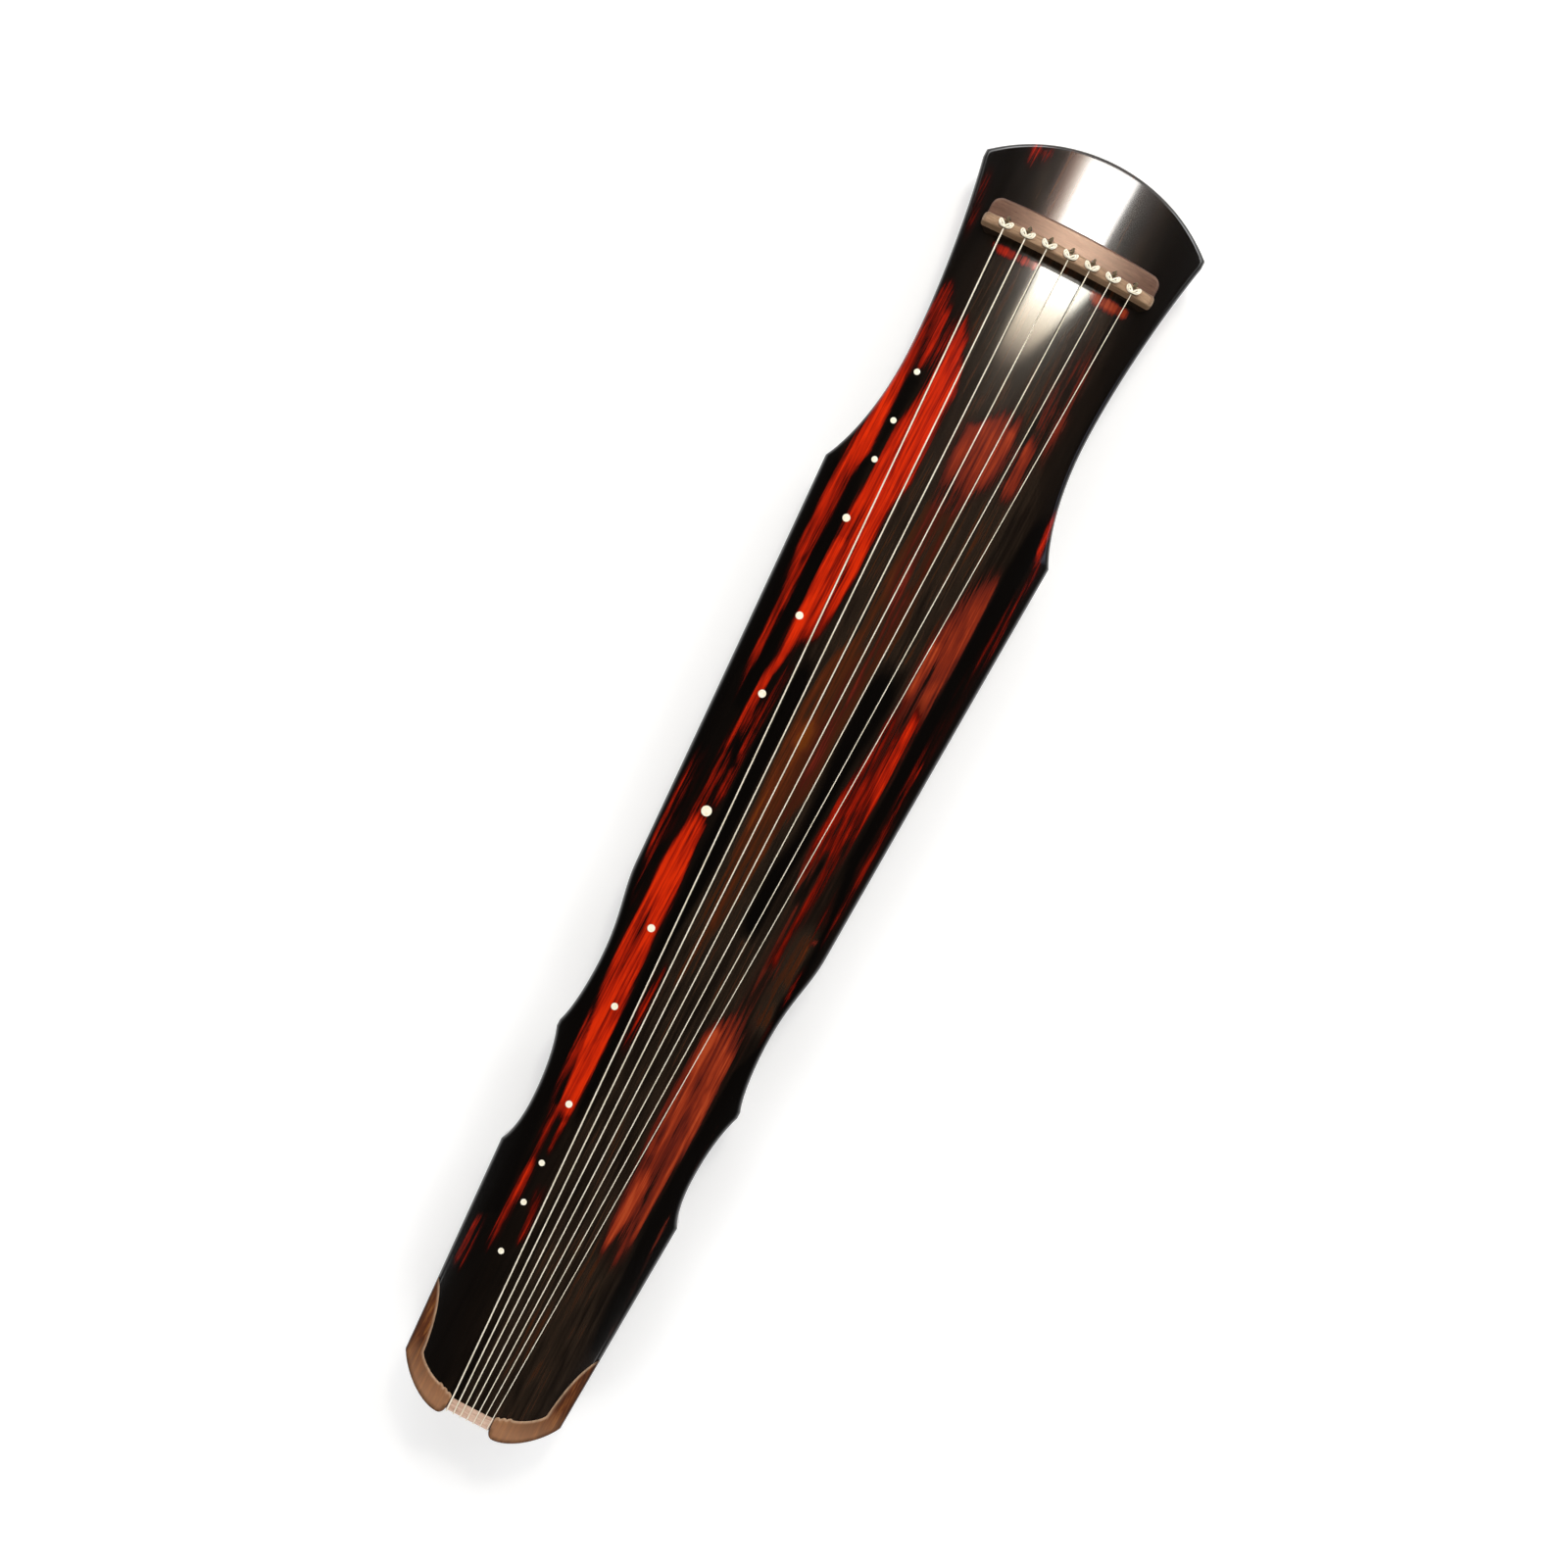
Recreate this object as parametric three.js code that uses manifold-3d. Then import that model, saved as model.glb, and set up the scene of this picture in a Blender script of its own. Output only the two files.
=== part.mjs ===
import * as THREE from 'three';
import { mergeVertices } from 'three/addons/utils/BufferGeometryUtils.js';
import Module from 'manifold-3d';

const wasm = await Module();
wasm.setup();

// A seven-string zither with a domed, hollowed top board on a flat bottom board.
// Sizes are in millimetres. The head points along +X and the studs lie on the +Y side.
// It stands on z = 0 on two feet and two peg guards.

// Length
const HEAD_LENGTH = 101; // head tip to the playing edge of the bridge
const STRING_LENGTH = 1117; // bridge edge to the contact line of the tail nut
const TAIL_LENGTH = 10; // contact line to the tips of the crown corners
const LENGTH = HEAD_LENGTH + STRING_LENGTH + TAIL_LENGTH;

// Widths of the plan outline
const HEAD_WIDTH = 213.4;
const NECK_WIDTH = 172.8;
const SHOULDER_WIDTH = 217.6;
const WAIST_FRONT_WIDTH = 185.2;
const WAIST_FIRST_WIDTH = 162.6;
const WAIST_CUSP_WIDTH = 176.6;
const WAIST_SECOND_WIDTH = 156.4;
const WAIST_BACK_WIDTH = 172;
const TAIL_WIDTH = 152;
const TAIL_TIP_WIDTH = 55; // across the furthest points of the two crown corners
const STRING_GAP = 41.4; // between the crown corners, where the strings pass

// Depths of the plan outline
const HEAD_ARC_DEPTH = 37.4;
const HEAD_CORNER_LENGTH = 7.2;
const CUSP_LENGTH = 6;
const TAIL_TURN = 33;
const NOTCH_DEPTH = 7.3;

// Places along the strings, as shares of the string length from the bridge
const NECK_SHARE = 0.1146;
const SHOULDER_SHARE = 0.2122;
const WAIST_FRONT_SHARE = 0.5613;
const WAIST_FIRST_SHARE = 0.6436;
const WAIST_CUSP_SHARE = 0.6992;
const WAIST_SECOND_SHARE = 0.7628;
const WAIST_BACK_SHARE = 0.7995;

// Handles of the outline's curves, as shares of the step along and across
const NECK_IN_SHARES = [0.25, 0.49, 0.68, 1];
const NECK_OUT_SHARES = [0.47, 0, 0.82, 0.5];
const FLANK_SHARES = [0.33, 0.35, 0.67, 0.69];
const FIRST_IN_SHARES = [0.31, 0.12, 0.51, 1];
const FIRST_OUT_SHARES = [0.42, 0, 0.81, 0.39];
const SECOND_IN_SHARES = [0.16, 0.43, 0.51, 1];
const SECOND_OUT_SHARES = [0.46, 0, 0.8, 0.42];
const TAIL_TURN_SHARES = [0.52, 0.21, 1, 0.67];
const TAIL_TIP_SHARES = [0, 0.59, 0.4, 1];

// Heights
const STAND = 24; // table to the underside of the body
const BOTTOM_THICK = 10;
const TIP_THICK = 38; // whole body on the centre line, at the head tip
const SHOULDER_THICK = 51;
const TAIL_THICK = 40;
const TIP_DROP = 9; // how far the dome falls from the centre line to the sides
const SHOULDER_DROP = 15;
const TAIL_DROP = 11;
const DOME_FLAT_SHARE = 0.35; // how much flatter than a parabola the dome is in the middle
const DOME_TAPER_SHARE = 1.15; // bend of the long slope to the tail
const DOME_MARGIN_SHARE = 1.22; // how far past the sides the dome surface is drawn

// Hollow of the top board
const WALL = 10; // wood left over the hollow
const RIM = 18; // wood left along the sides
const HEAD_BLOCK = 152; // solid wood from the head tip
const TAIL_BLOCK = 96;
const ABSORB_DROP = 8; // the ceiling over each sound hole stands this much lower
const ABSORB_MARGIN = 14;

// Sound holes in the bottom board
const SOUND_WIDTH = 26;
const DRAGON_LENGTH = 210;
const DRAGON_SHARE = 0.375;
const PHOENIX_LENGTH = 105;
const PHOENIX_SHARE = 0.84;

// Posts between the boards
const HEAVEN_SHARE = 0.225;
const HEAVEN_DIAMETER = 20;
const EARTH_SHARE = 0.55;
const EARTH_SIDE = 20;

// Bridge and head strip
const BRIDGE_SPREAD = 122.8; // first to last string at the bridge
const BRIDGE_OVERHANG = 20.6; // outer string to the end of the bridge
const BRIDGE_SPAN = BRIDGE_SPREAD + 2 * BRIDGE_OVERHANG;
const BRIDGE_THICK = 9.6;
const BRIDGE_HEIGHT = 18; // over the board on the centre line
const BRIDGE_ARCH = 9; // fall of its top from the middle to the ends
const BRIDGE_EDGE = 1.2;
const BRIDGE_CORNER = 5;
const STRIP_INSET = 1.2; // end of the bridge to the end of the strip
const STRIP_SPAN = BRIDGE_SPAN - 2 * STRIP_INSET;
const STRIP_DEPTH = 19.6;
const STRIP_BOW = 2; // how much further its head-side edge stands out on the centre line
const STRIP_CORNER = 9;
const STRIP_RISE = 2;
const STRIP_SINK = 3;

// Strings
const STRING_COUNT = 7;
const TAIL_INSET = 1.5; // outer string to the crown corner beside it
const TAIL_SPREAD = STRING_GAP - 2 * TAIL_INSET;
const THICKEST_STRING = 1.35;
const THINNEST_STRING = 0.75;
const KNOT_WIDTH = 13;
const KNOT_DEPTH = 5.2;
const KNOT_SETBACK = 5; // middle of the knot from the playing edge of the bridge
const KNOT_LEAN_SHARE = 0.36; // how far the ears lean to the head, as a share of their reach
const KNOT_GAP = 0.6; // between the passes over the middle of a knot
const WINDING_GAP = 0.45; // between neighbouring turns

// Tail nuts
const NUT_DEPTH = 12; // along the strings
const NUT_HEIGHT = 15;
const NUT_RISE = 1.2; // over the board on the centre line
const NUT_ROUND = 4;
const LOWER_NUT_DROP = 1.5; // below the underside

// Crown corners and tail supports
const CROWN_LENGTH = 104;
const CROWN_FLARE = 4.5; // start of the inner edge, past half the width of the tail
const CROWN_TURN = 40; // tail tip to where the inner edge turns across
const CROWN_TURN_HALF = 60;
const CROWN_BACK = 24; // tail tip to the outer end of the scalloped edge
const CROWN_INNER_BACK = 18.5; // tail tip to its end at the tail nut
const CROWN_LOBE_WIDTH = 5;
const CROWN_LOBE_DEPTH = 1.4;
const CROWN_LOBES = 3;
const CROWN_RISE = 1.2;
const CROWN_SINK = 6;
const CROWN_SIDE_SHARES = [0.12, 0.45, 0.5, 0.85];
const CROWN_TURN_SHARES = [0.35, 0.1, 0.85, 0.6];
const SUPPORT_LENGTH = 44;
const SUPPORT_SINK = 5;
const SUPPORT_DROP = 1.5;
const SUPPORT_SHARES = [0.55, 0.05, 0.95, 0.45];

// Studs
const STUD_SHARES = [
  1 / 8, 1 / 6, 1 / 5, 1 / 4, 1 / 3, 2 / 5, 1 / 2, 3 / 5, 2 / 3, 3 / 4, 4 / 5, 5 / 6, 7 / 8,
];
const STUD_SIZE_SHARES = [0.58, 0.58, 0.58, 0.73, 0.73, 0.75, 1, 0.72, 0.66, 0.66, 0.58, 0.58, 0.58];
const STUD_DIAMETER = 9.4; // of the seventh, the largest
const STUD_THICK = 1.2;
const STUD_RISE = 0.2;
const STUD_FIRST_OFFSET = 71; // from the centre line
const STUD_LAST_OFFSET = 40.7;
const STUD_BOW = 2.15;

// Feet, sockets and peg guards
const FOOT_SHARE = 0.632;
const FOOT_SPACING = 92;
const FOOT_BASE = 25;
const FOOT_NECK = 18;
const FOOT_SHOULDER = 22;
const FOOT_BASE_HEIGHT = 5;
const FOOT_FLARE_HEIGHT = 2.4;
const FOOT_CHAMFER = 1;
const FOOT_SHOULDER_HEIGHT = 1;
const TENON_SIDE = 14;
const TENON_LENGTH = 13;
const SOCKET_SIDE = 29;
const SOCKET_HEIGHT = 17;
const FOOT_TURN_STEPS = 36;
const STEPS_PER_TURN = 24;
const GUARD_GAP = 7.2; // end of the pegs' slot to the guard
const GUARD_THICK = 13;
const GUARD_TOP_LENGTH = 42;
const GUARD_SOLE_LENGTH = 24;
const GUARD_EDGE = 0.8;
const GUARD_FLARE_SHARES = [0.1, 0.55, 0.5, 0.9];

// Pegs, their pool and the silk cords
const POOL_END = 11.9; // middle of the outer peg to the end of the slot
const POOL_LENGTH = BRIDGE_SPREAD + 2 * POOL_END;
const POOL_WIDTH = 20;
const POOL_DEPTH = 18;
const PLATE_THICK = 4;
const CORD_DIAMETER = 2.6;
const CHANNEL_DIAMETER = 4.2;
const CHANNEL_OFFSET = 4; // back of the bridge to the middle of the channels
const PEG_CLEAR = 2.5; // table to the end of a peg
const PEG_HEAD = 12.4;
const PEG_NECK = 8.4;
const PEG_BELLY = 12.8;
const PEG_END = 9.2;
const PEG_HEAD_HEIGHT = 3;
const PEG_SHOULDER_HEIGHT = 2.4;
const PEG_NECK_HEIGHT = 10;
const PEG_SWELL_HEIGHT = 5;
const PEG_END_ROUND = 1.6;
const PEG_HOLE_DEPTH = 8; // top of a peg to its side hole
const TIE_STEPS = 30;

// Small values
const CLEARANCE = 0.3;
const OVERRUN = 20; // how far a cutter runs past what it cuts
const CURVE_STEPS = 6;
const CORNER_STEPS = 3;
const ARC_STEPS = 4;
const KNOT_STEPS = 12;
const POST_SIDES = 16;
const TURNED_SIDES = 12;
const HUI_FOOT_STRINGS = 4; // how many strings end on the foot of the studs' side
const DOME_ROWS = 16;
const DOME_COLUMNS = 12;
const CORD_SIDES = 8;
const STRING_SIDES = 6;

// Colours
const LACQUER = { color: 0x1c1410, roughness: 0.16, metalness: 0 };
const RED_LACQUER = { color: 0x2a1712, roughness: 0.25, metalness: 0 };
const HARDWOOD = { color: 0x8a6a5c, roughness: 0.42, metalness: 0 };
const CROWN_WOOD = { color: 0xa0603c, roughness: 0.45, metalness: 0 };
const BARE_WOOD = { color: 0xb08a5a, roughness: 0.8, metalness: 0 };
const NUT_WOOD = { color: 0xb08c7c, roughness: 0.45, metalness: 0 };
const STRING_WRAP = { color: 0xc8c0a8, roughness: 0.45, metalness: 0 };
const SILK = { color: 0x6b5a3c, roughness: 0.85, metalness: 0 };
const SHELL = { color: 0xfff8e0, roughness: 0.3, metalness: 0 };

// Places that several pieces share
const at = (station) => LENGTH / 2 - station;
const atShare = (share) => at(HEAD_LENGTH + share * STRING_LENGTH);
const BOARD_SEAM = STAND + BOTTOM_THICK;
const TOP_OF_ALL = STAND + SHOULDER_THICK + BRIDGE_HEIGHT + OVERRUN;
const BRIDGE_EDGE_X = at(HEAD_LENGTH);
const BRIDGE_BACK_X = BRIDGE_EDGE_X + BRIDGE_THICK;
const STRIP_X = BRIDGE_BACK_X + CLEARANCE + STRIP_DEPTH / 2;
const CHANNEL_X = BRIDGE_BACK_X + CHANNEL_OFFSET;
const NUT_CONTACT_X = at(HEAD_LENGTH + STRING_LENGTH);
const NUT_FACE_X = NUT_CONTACT_X - NUT_ROUND;
const NOTCH_X = at(LENGTH - NOTCH_DEPTH);
const FOOT_X = atShare(FOOT_SHARE);
const POOL_CEILING = STAND + POOL_DEPTH;
const PEG_TOP = POOL_CEILING - PLATE_THICK - 2 * CLEARANCE;

// Height of the body over its underside, or the fall of the dome, along the centre line
function swell(x, tip, shoulder, tail) {
  const shoulderX = atShare(SHOULDER_SHARE);
  const ahead = Math.max(x - shoulderX, 0) / (at(0) - shoulderX);
  const behind = Math.max(shoulderX - x, 0) / (shoulderX - at(LENGTH));
  return shoulder - (shoulder - tip) * ahead ** 2 - (shoulder - tail) * behind ** DOME_TAPER_SHARE;
}

// Half the width that the dome is drawn over at a place along the body
function domeHalf(x) {
  const shoulderX = atShare(SHOULDER_SHARE);
  const behind = Math.max(shoulderX - x, 0) / (shoulderX - at(LENGTH));
  return (SHOULDER_WIDTH + (TAIL_WIDTH - SHOULDER_WIDTH) * behind) / 2;
}

// Height of the upper face of the top board
function domeHeight(x, y) {
  const across = Math.abs(y) / domeHalf(x);
  const fall = across ** 2 * (1 - DOME_FLAT_SHARE) + across ** 4 * DOME_FLAT_SHARE;
  const crown = swell(x, TIP_THICK, SHOULDER_THICK, TAIL_THICK);
  return STAND + crown - swell(x, TIP_DROP, SHOULDER_DROP, TAIL_DROP) * fall;
}

// Height of the top of the bridge
function bridgeTop(y) {
  const across = 2 * y / BRIDGE_SPAN;
  return domeHeight(BRIDGE_EDGE_X, 0) + BRIDGE_HEIGHT - BRIDGE_ARCH * across ** 2;
}

// Turns a closed geometry into a solid that can be cut and joined
function solid(geometry) {
  const bare = geometry.clone();
  bare.deleteAttribute('normal');
  bare.deleteAttribute('uv');
  const merged = mergeVertices(bare);
  const vertProperties = new Float32Array(merged.attributes.position.array);
  const triVerts = new Uint32Array(merged.index.array);
  return new wasm.Manifold(new wasm.Mesh({ numProp: 3, vertProperties, triVerts }));
}

// Turns a solid back into a geometry
function geometryOf(body) {
  const mesh = body.getMesh();
  const geometry = new THREE.BufferGeometry();
  geometry.setAttribute('position', new THREE.BufferAttribute(new Float32Array(mesh.vertProperties), 3));
  geometry.setIndex(new THREE.BufferAttribute(new Uint32Array(mesh.triVerts), 1));
  geometry.computeVertexNormals();
  return geometry;
}

// An upright prism of a plan shape between two heights
function prism(shape, low, high, curveSegments = CURVE_STEPS) {
  const settings = { depth: high - low, bevelEnabled: false, curveSegments };
  return solid(new THREE.ExtrudeGeometry(shape, settings).translate(0, 0, low));
}

// A block between two corners
function block(lowX, highX, lowY, highY, lowZ, highZ) {
  const box = new THREE.BoxGeometry(highX - lowX, highY - lowY, highZ - lowZ);
  return solid(box.translate((lowX + highX) / 2, (lowY + highY) / 2, (lowZ + highZ) / 2));
}

// A round rod along a direction, with its middle at a point
function rod(centre, direction, diameter, length, sides) {
  const round = new THREE.CylinderGeometry(diameter / 2, diameter / 2, length, sides);
  const turn = new THREE.Quaternion().setFromUnitVectors(new THREE.Vector3(0, 1, 0), direction);
  return solid(round.applyQuaternion(turn).translate(centre.x, centre.y, centre.z));
}

// A plan rectangle with rounded corners
function roundedRectangle(centreX, centreY, length, width, corner) {
  const shape = new THREE.Shape();
  const right = centreX + length / 2 - corner;
  const left = centreX - length / 2 + corner;
  const upper = centreY + width / 2 - corner;
  const lower = centreY - width / 2 + corner;
  shape.absarc(right, lower, corner, -Math.PI / 2, 0);
  shape.absarc(right, upper, corner, 0, Math.PI / 2);
  shape.absarc(left, upper, corner, Math.PI / 2, Math.PI);
  shape.absarc(left, lower, corner, Math.PI, 1.5 * Math.PI);
  return shape;
}

// One curve of an outline, with its handles as shares of the step
function sweepTo(path, x, y, handleShares) {
  const from = path.currentPoint.clone();
  const [leaveAlong, leaveAcross, reachAlong, reachAcross] = handleShares;
  const stepX = x - from.x;
  const stepY = y - from.y;
  const leave = [from.x + leaveAlong * stepX, from.y + leaveAcross * stepY];
  const reach = [from.x + reachAlong * stepX, from.y + reachAcross * stepY];
  path.bezierCurveTo(...leave, ...reach, x, y);
}

// The +Y side of the plan outline from the head tip to the string notch, drawn in by an inset
function sidePoints(inset) {
  const path = new THREE.Path();
  const headRadius = (HEAD_WIDTH ** 2 / 4 + HEAD_ARC_DEPTH ** 2) / (2 * HEAD_ARC_DEPTH);
  const headAngle = Math.asin(HEAD_WIDTH / 2 / headRadius);
  const cornerX = at(HEAD_ARC_DEPTH + HEAD_CORNER_LENGTH);
  const cuspX = atShare(WAIST_CUSP_SHARE);
  path.absarc(at(headRadius), 0, headRadius, 0, headAngle);
  path.lineTo(cornerX, HEAD_WIDTH / 2);
  sweepTo(path, atShare(NECK_SHARE), NECK_WIDTH / 2, NECK_IN_SHARES);
  sweepTo(path, atShare(SHOULDER_SHARE), SHOULDER_WIDTH / 2, NECK_OUT_SHARES);
  sweepTo(path, atShare(WAIST_FRONT_SHARE), WAIST_FRONT_WIDTH / 2, FLANK_SHARES);
  sweepTo(path, atShare(WAIST_FIRST_SHARE), WAIST_FIRST_WIDTH / 2, FIRST_IN_SHARES);
  sweepTo(path, cuspX + CUSP_LENGTH / 2, WAIST_CUSP_WIDTH / 2, FIRST_OUT_SHARES);
  path.lineTo(cuspX - CUSP_LENGTH / 2, WAIST_CUSP_WIDTH / 2);
  sweepTo(path, atShare(WAIST_SECOND_SHARE), WAIST_SECOND_WIDTH / 2, SECOND_IN_SHARES);
  sweepTo(path, atShare(WAIST_BACK_SHARE), WAIST_BACK_WIDTH / 2, SECOND_OUT_SHARES);
  path.lineTo(at(LENGTH - TAIL_TURN), TAIL_WIDTH / 2);
  sweepTo(path, at(LENGTH), TAIL_TIP_WIDTH / 2, TAIL_TURN_SHARES);
  sweepTo(path, NOTCH_X, STRING_GAP / 2, TAIL_TIP_SHARES);
  const points = path.getPoints(CURVE_STEPS);
  return points.map((point) => new THREE.Vector2(point.x, Math.max(point.y - inset, 0)));
}

// The whole plan outline
function outline(inset = 0) {
  const side = sidePoints(inset).filter((point) => inset === 0 || point.y > 0);
  const other = side.map((point) => new THREE.Vector2(point.x, -point.y)).reverse();
  const middle = other.filter((point) => point.y < 0);
  return new THREE.Shape([...side, ...middle]);
}

// The solid under the dome, with its upper face raised or lowered
function domeSolid(lift) {
  const positions = [];
  const fromX = at(0) + OVERRUN;
  const stepX = -(LENGTH + 2 * OVERRUN) / DOME_ROWS;
  for (let row = 0; row <= DOME_ROWS; row += 1) {
    const x = fromX + row * stepX;
    const reach = domeHalf(x) * DOME_MARGIN_SHARE;
    for (let column = 0; column <= DOME_COLUMNS; column += 1) {
      const y = reach * (2 * column / DOME_COLUMNS - 1);
      positions.push(x, y, domeHeight(x, y) + lift);
    }
    for (let column = DOME_COLUMNS; column >= 0; column -= 1) {
      positions.push(x, reach * (2 * column / DOME_COLUMNS - 1), 0);
    }
  }
  const ring = 2 * (DOME_COLUMNS + 1);
  const triangles = [];
  for (let row = 0; row < DOME_ROWS; row += 1) {
    for (let place = 0; place < ring; place += 1) {
      const here = row * ring + place;
      const beside = row * ring + (place + 1) % ring;
      triangles.push(here, beside, here + ring, beside, beside + ring, here + ring);
    }
  }
  const last = DOME_ROWS * ring;
  for (let column = 0; column < DOME_COLUMNS; column += 1) {
    const under = ring - 1 - column;
    triangles.push(column, under, column + 1, column + 1, under, under - 1);
    triangles.push(last + column, last + column + 1, last + under);
    triangles.push(last + column + 1, last + under - 1, last + under);
  }
  const geometry = new THREE.BufferGeometry();
  geometry.setAttribute('position', new THREE.Float32BufferAttribute(positions, 3));
  geometry.setIndex(triangles);
  return solid(geometry);
}

// What lies between two levels of the dome inside a plan shape
function domeSlice(shape, highLift, lowLift) {
  const upright = prism(shape, STAND, TOP_OF_ALL, CORNER_STEPS);
  return upright.intersect(domeSolid(highLift)).subtract(domeSolid(lowLift));
}

// The space over a level of the dome inside a plan shape
function overDome(shape, lift) {
  return prism(shape, STAND, TOP_OF_ALL, CORNER_STEPS).subtract(domeSolid(lift));
}

// A route through a list of points, which a tube passes in equal steps of the list
class Route extends THREE.Curve {
  constructor(points) {
    super();
    this.points = points;
  }

  getPoint(t, target = new THREE.Vector3()) {
    const place = t * (this.points.length - 1);
    const index = Math.min(Math.floor(place), this.points.length - 2);
    return target.lerpVectors(this.points[index], this.points[index + 1], place - index);
  }

  getPointAt(u, target) {
    return this.getPoint(u, target);
  }

  getTangent(t, target = new THREE.Vector3()) {
    const index = Math.round(t * (this.points.length - 1));
    target.set(0, 0, 0);
    if (index > 0) {
      target.add(this.points[index].clone().sub(this.points[index - 1]).normalize());
    }
    if (index < this.points.length - 1) {
      target.add(this.points[index + 1].clone().sub(this.points[index]).normalize());
    }
    return target.normalize();
  }

  getTangentAt(u, target) {
    return this.getTangent(u, target);
  }
}

// A tube of a few sides along a list of points
function tube(points, diameter, sides) {
  const section = new THREE.Shape();
  for (let side = 0; side < sides; side += 1) {
    const angle = 2 * Math.PI * side / sides;
    const corner = [diameter / 2 * Math.cos(angle), diameter / 2 * Math.sin(angle)];
    if (side === 0) {
      section.moveTo(...corner);
    } else {
      section.lineTo(...corner);
    }
  }
  section.closePath();
  const settings = { steps: points.length - 1, extrudePath: new Route(points), bevelEnabled: false };
  return new THREE.ExtrudeGeometry(section, settings);
}

// Points of an arc about an axis along Y, in the plane of the strings
function arcPoints(centreX, y, centreZ, radius, fromAngle, toAngle, steps) {
  const points = [];
  for (let step = 0; step <= steps; step += 1) {
    const angle = fromAngle + (toAngle - fromAngle) * step / steps;
    const x = centreX + radius * Math.cos(angle);
    points.push(new THREE.Vector3(x, y, centreZ + radius * Math.sin(angle)));
  }
  return points;
}

// The least gap of a wound tube to itself, measured between points further apart than a turn back
function leastGap(points, diameter) {
  const fine = [];
  for (let index = 1; index < points.length; index += 1) {
    fine.push(points[index - 1]);
    fine.push(points[index - 1].clone().lerp(points[index], 1 / 2));
  }
  const run = [0];
  for (let index = 1; index < fine.length; index += 1) {
    run.push(run[index - 1] + fine[index].distanceTo(fine[index - 1]));
  }
  let least = Infinity;
  for (let first = 0; first < fine.length; first += 1) {
    for (let second = first + 1; second < fine.length; second += 1) {
      if (run[second] - run[first] > 3 * diameter) {
        least = Math.min(least, fine[first].distanceTo(fine[second]) - diameter);
      }
    }
  }
  return least;
}

// Where string number 0 to 6 lies, as a share from the first to the last
const stringShare = (number) => number / (STRING_COUNT - 1);
const stringTaper = THINNEST_STRING - THICKEST_STRING;
const stringDiameter = (number) => THICKEST_STRING + stringTaper * stringShare(number);
const bridgeY = (number) => BRIDGE_SPREAD * (1 / 2 - stringShare(number));
const tailY = (number) => TAIL_SPREAD * (1 / 2 - stringShare(number));

// The bow-shaped knot on the bridge: two ears that lean to the head, each pass one level higher
function knotPoints(number) {
  const diameter = stringDiameter(number);
  const rise = diameter + KNOT_GAP;
  const centreX = BRIDGE_EDGE_X + KNOT_SETBACK;
  const y = bridgeY(number);
  const floor = bridgeTop(y) + CLEARANCE + diameter / 2;
  const turns = [];
  for (let step = KNOT_STEPS - 1; step >= 1; step -= 1) {
    const angle = 2 * Math.PI * step / KNOT_STEPS;
    const side = KNOT_WIDTH / 2 * Math.sin(angle);
    const along = KNOT_DEPTH / 2 * Math.sin(2 * angle) + KNOT_LEAN_SHARE * Math.abs(side);
    turns.push(new THREE.Vector3(centreX + along, y + side, floor + rise * angle / Math.PI));
  }
  turns.push(new THREE.Vector3(centreX - KNOT_DEPTH / 3, y, floor));
  turns.push(new THREE.Vector3(BRIDGE_EDGE_X + BRIDGE_EDGE, y, floor));
  return new THREE.CatmullRomCurve3(turns).getPoints(2 * turns.length - 2);
}

// The winding on a goose foot, reached on its inner side from a point under the tail
function footWinding(number, start) {
  const side = number < HUI_FOOT_STRINGS ? 1 : -1;
  const diameter = stringDiameter(number);
  const centre = new THREE.Vector2(FOOT_X, side * FOOT_SPACING / 2);
  const radius = FOOT_NECK / 2 + CLEARANCE + WINDING_GAP / 4 + diameter / 2;
  const toward = centre.clone().sub(new THREE.Vector2(start.x, start.y));
  const swing = Math.asin(radius / toward.length());
  const firstAngle = toward.angle() - side * (swing + Math.PI / 2);
  const pitch = diameter + WINDING_GAP;
  let high = STAND - FOOT_SHOULDER_HEIGHT - 2 * CLEARANCE - diameter / 2;
  for (let other = side > 0 ? 0 : HUI_FOOT_STRINGS; other < number; other += 1) {
    high -= 2 * (stringDiameter(other) + WINDING_GAP);
  }
  const points = [];
  for (let step = 0; step <= FOOT_TURN_STEPS; step += 1) {
    const angle = firstAngle + side * 2 * Math.PI * step / STEPS_PER_TURN;
    const x = centre.x + radius * Math.cos(angle);
    const y = centre.y + radius * Math.sin(angle);
    points.push(new THREE.Vector3(x, y, high - pitch * step / STEPS_PER_TURN));
  }
  const last = points[points.length - 1];
  const before = points[points.length - 2];
  points.push(last.clone().add(last.clone().sub(before).setLength(diameter)));
  return points;
}

// One string: knot, playing length, turn round both tail nuts, run below the body, winding
function stringRoute(number) {
  const diameter = stringDiameter(number);
  const reach = NUT_ROUND + CLEARANCE + diameter / 2;
  const y = tailY(number);
  const nutZ = domeHeight(at(LENGTH), 0) + NUT_RISE - NUT_ROUND;
  const lowerZ = STAND - LOWER_NUT_DROP + NUT_ROUND;
  const over = arcPoints(NUT_CONTACT_X, y, nutZ, reach, Math.PI / 2, Math.PI, ARC_STEPS);
  const under = arcPoints(NUT_CONTACT_X, y, lowerZ, reach, Math.PI, 1.5 * Math.PI, ARC_STEPS);
  const knot = knotPoints(number);
  const winding = footWinding(number, under[under.length - 1]);
  return { points: [...knot, ...over, ...under, ...winding], knot, winding };
}

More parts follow.
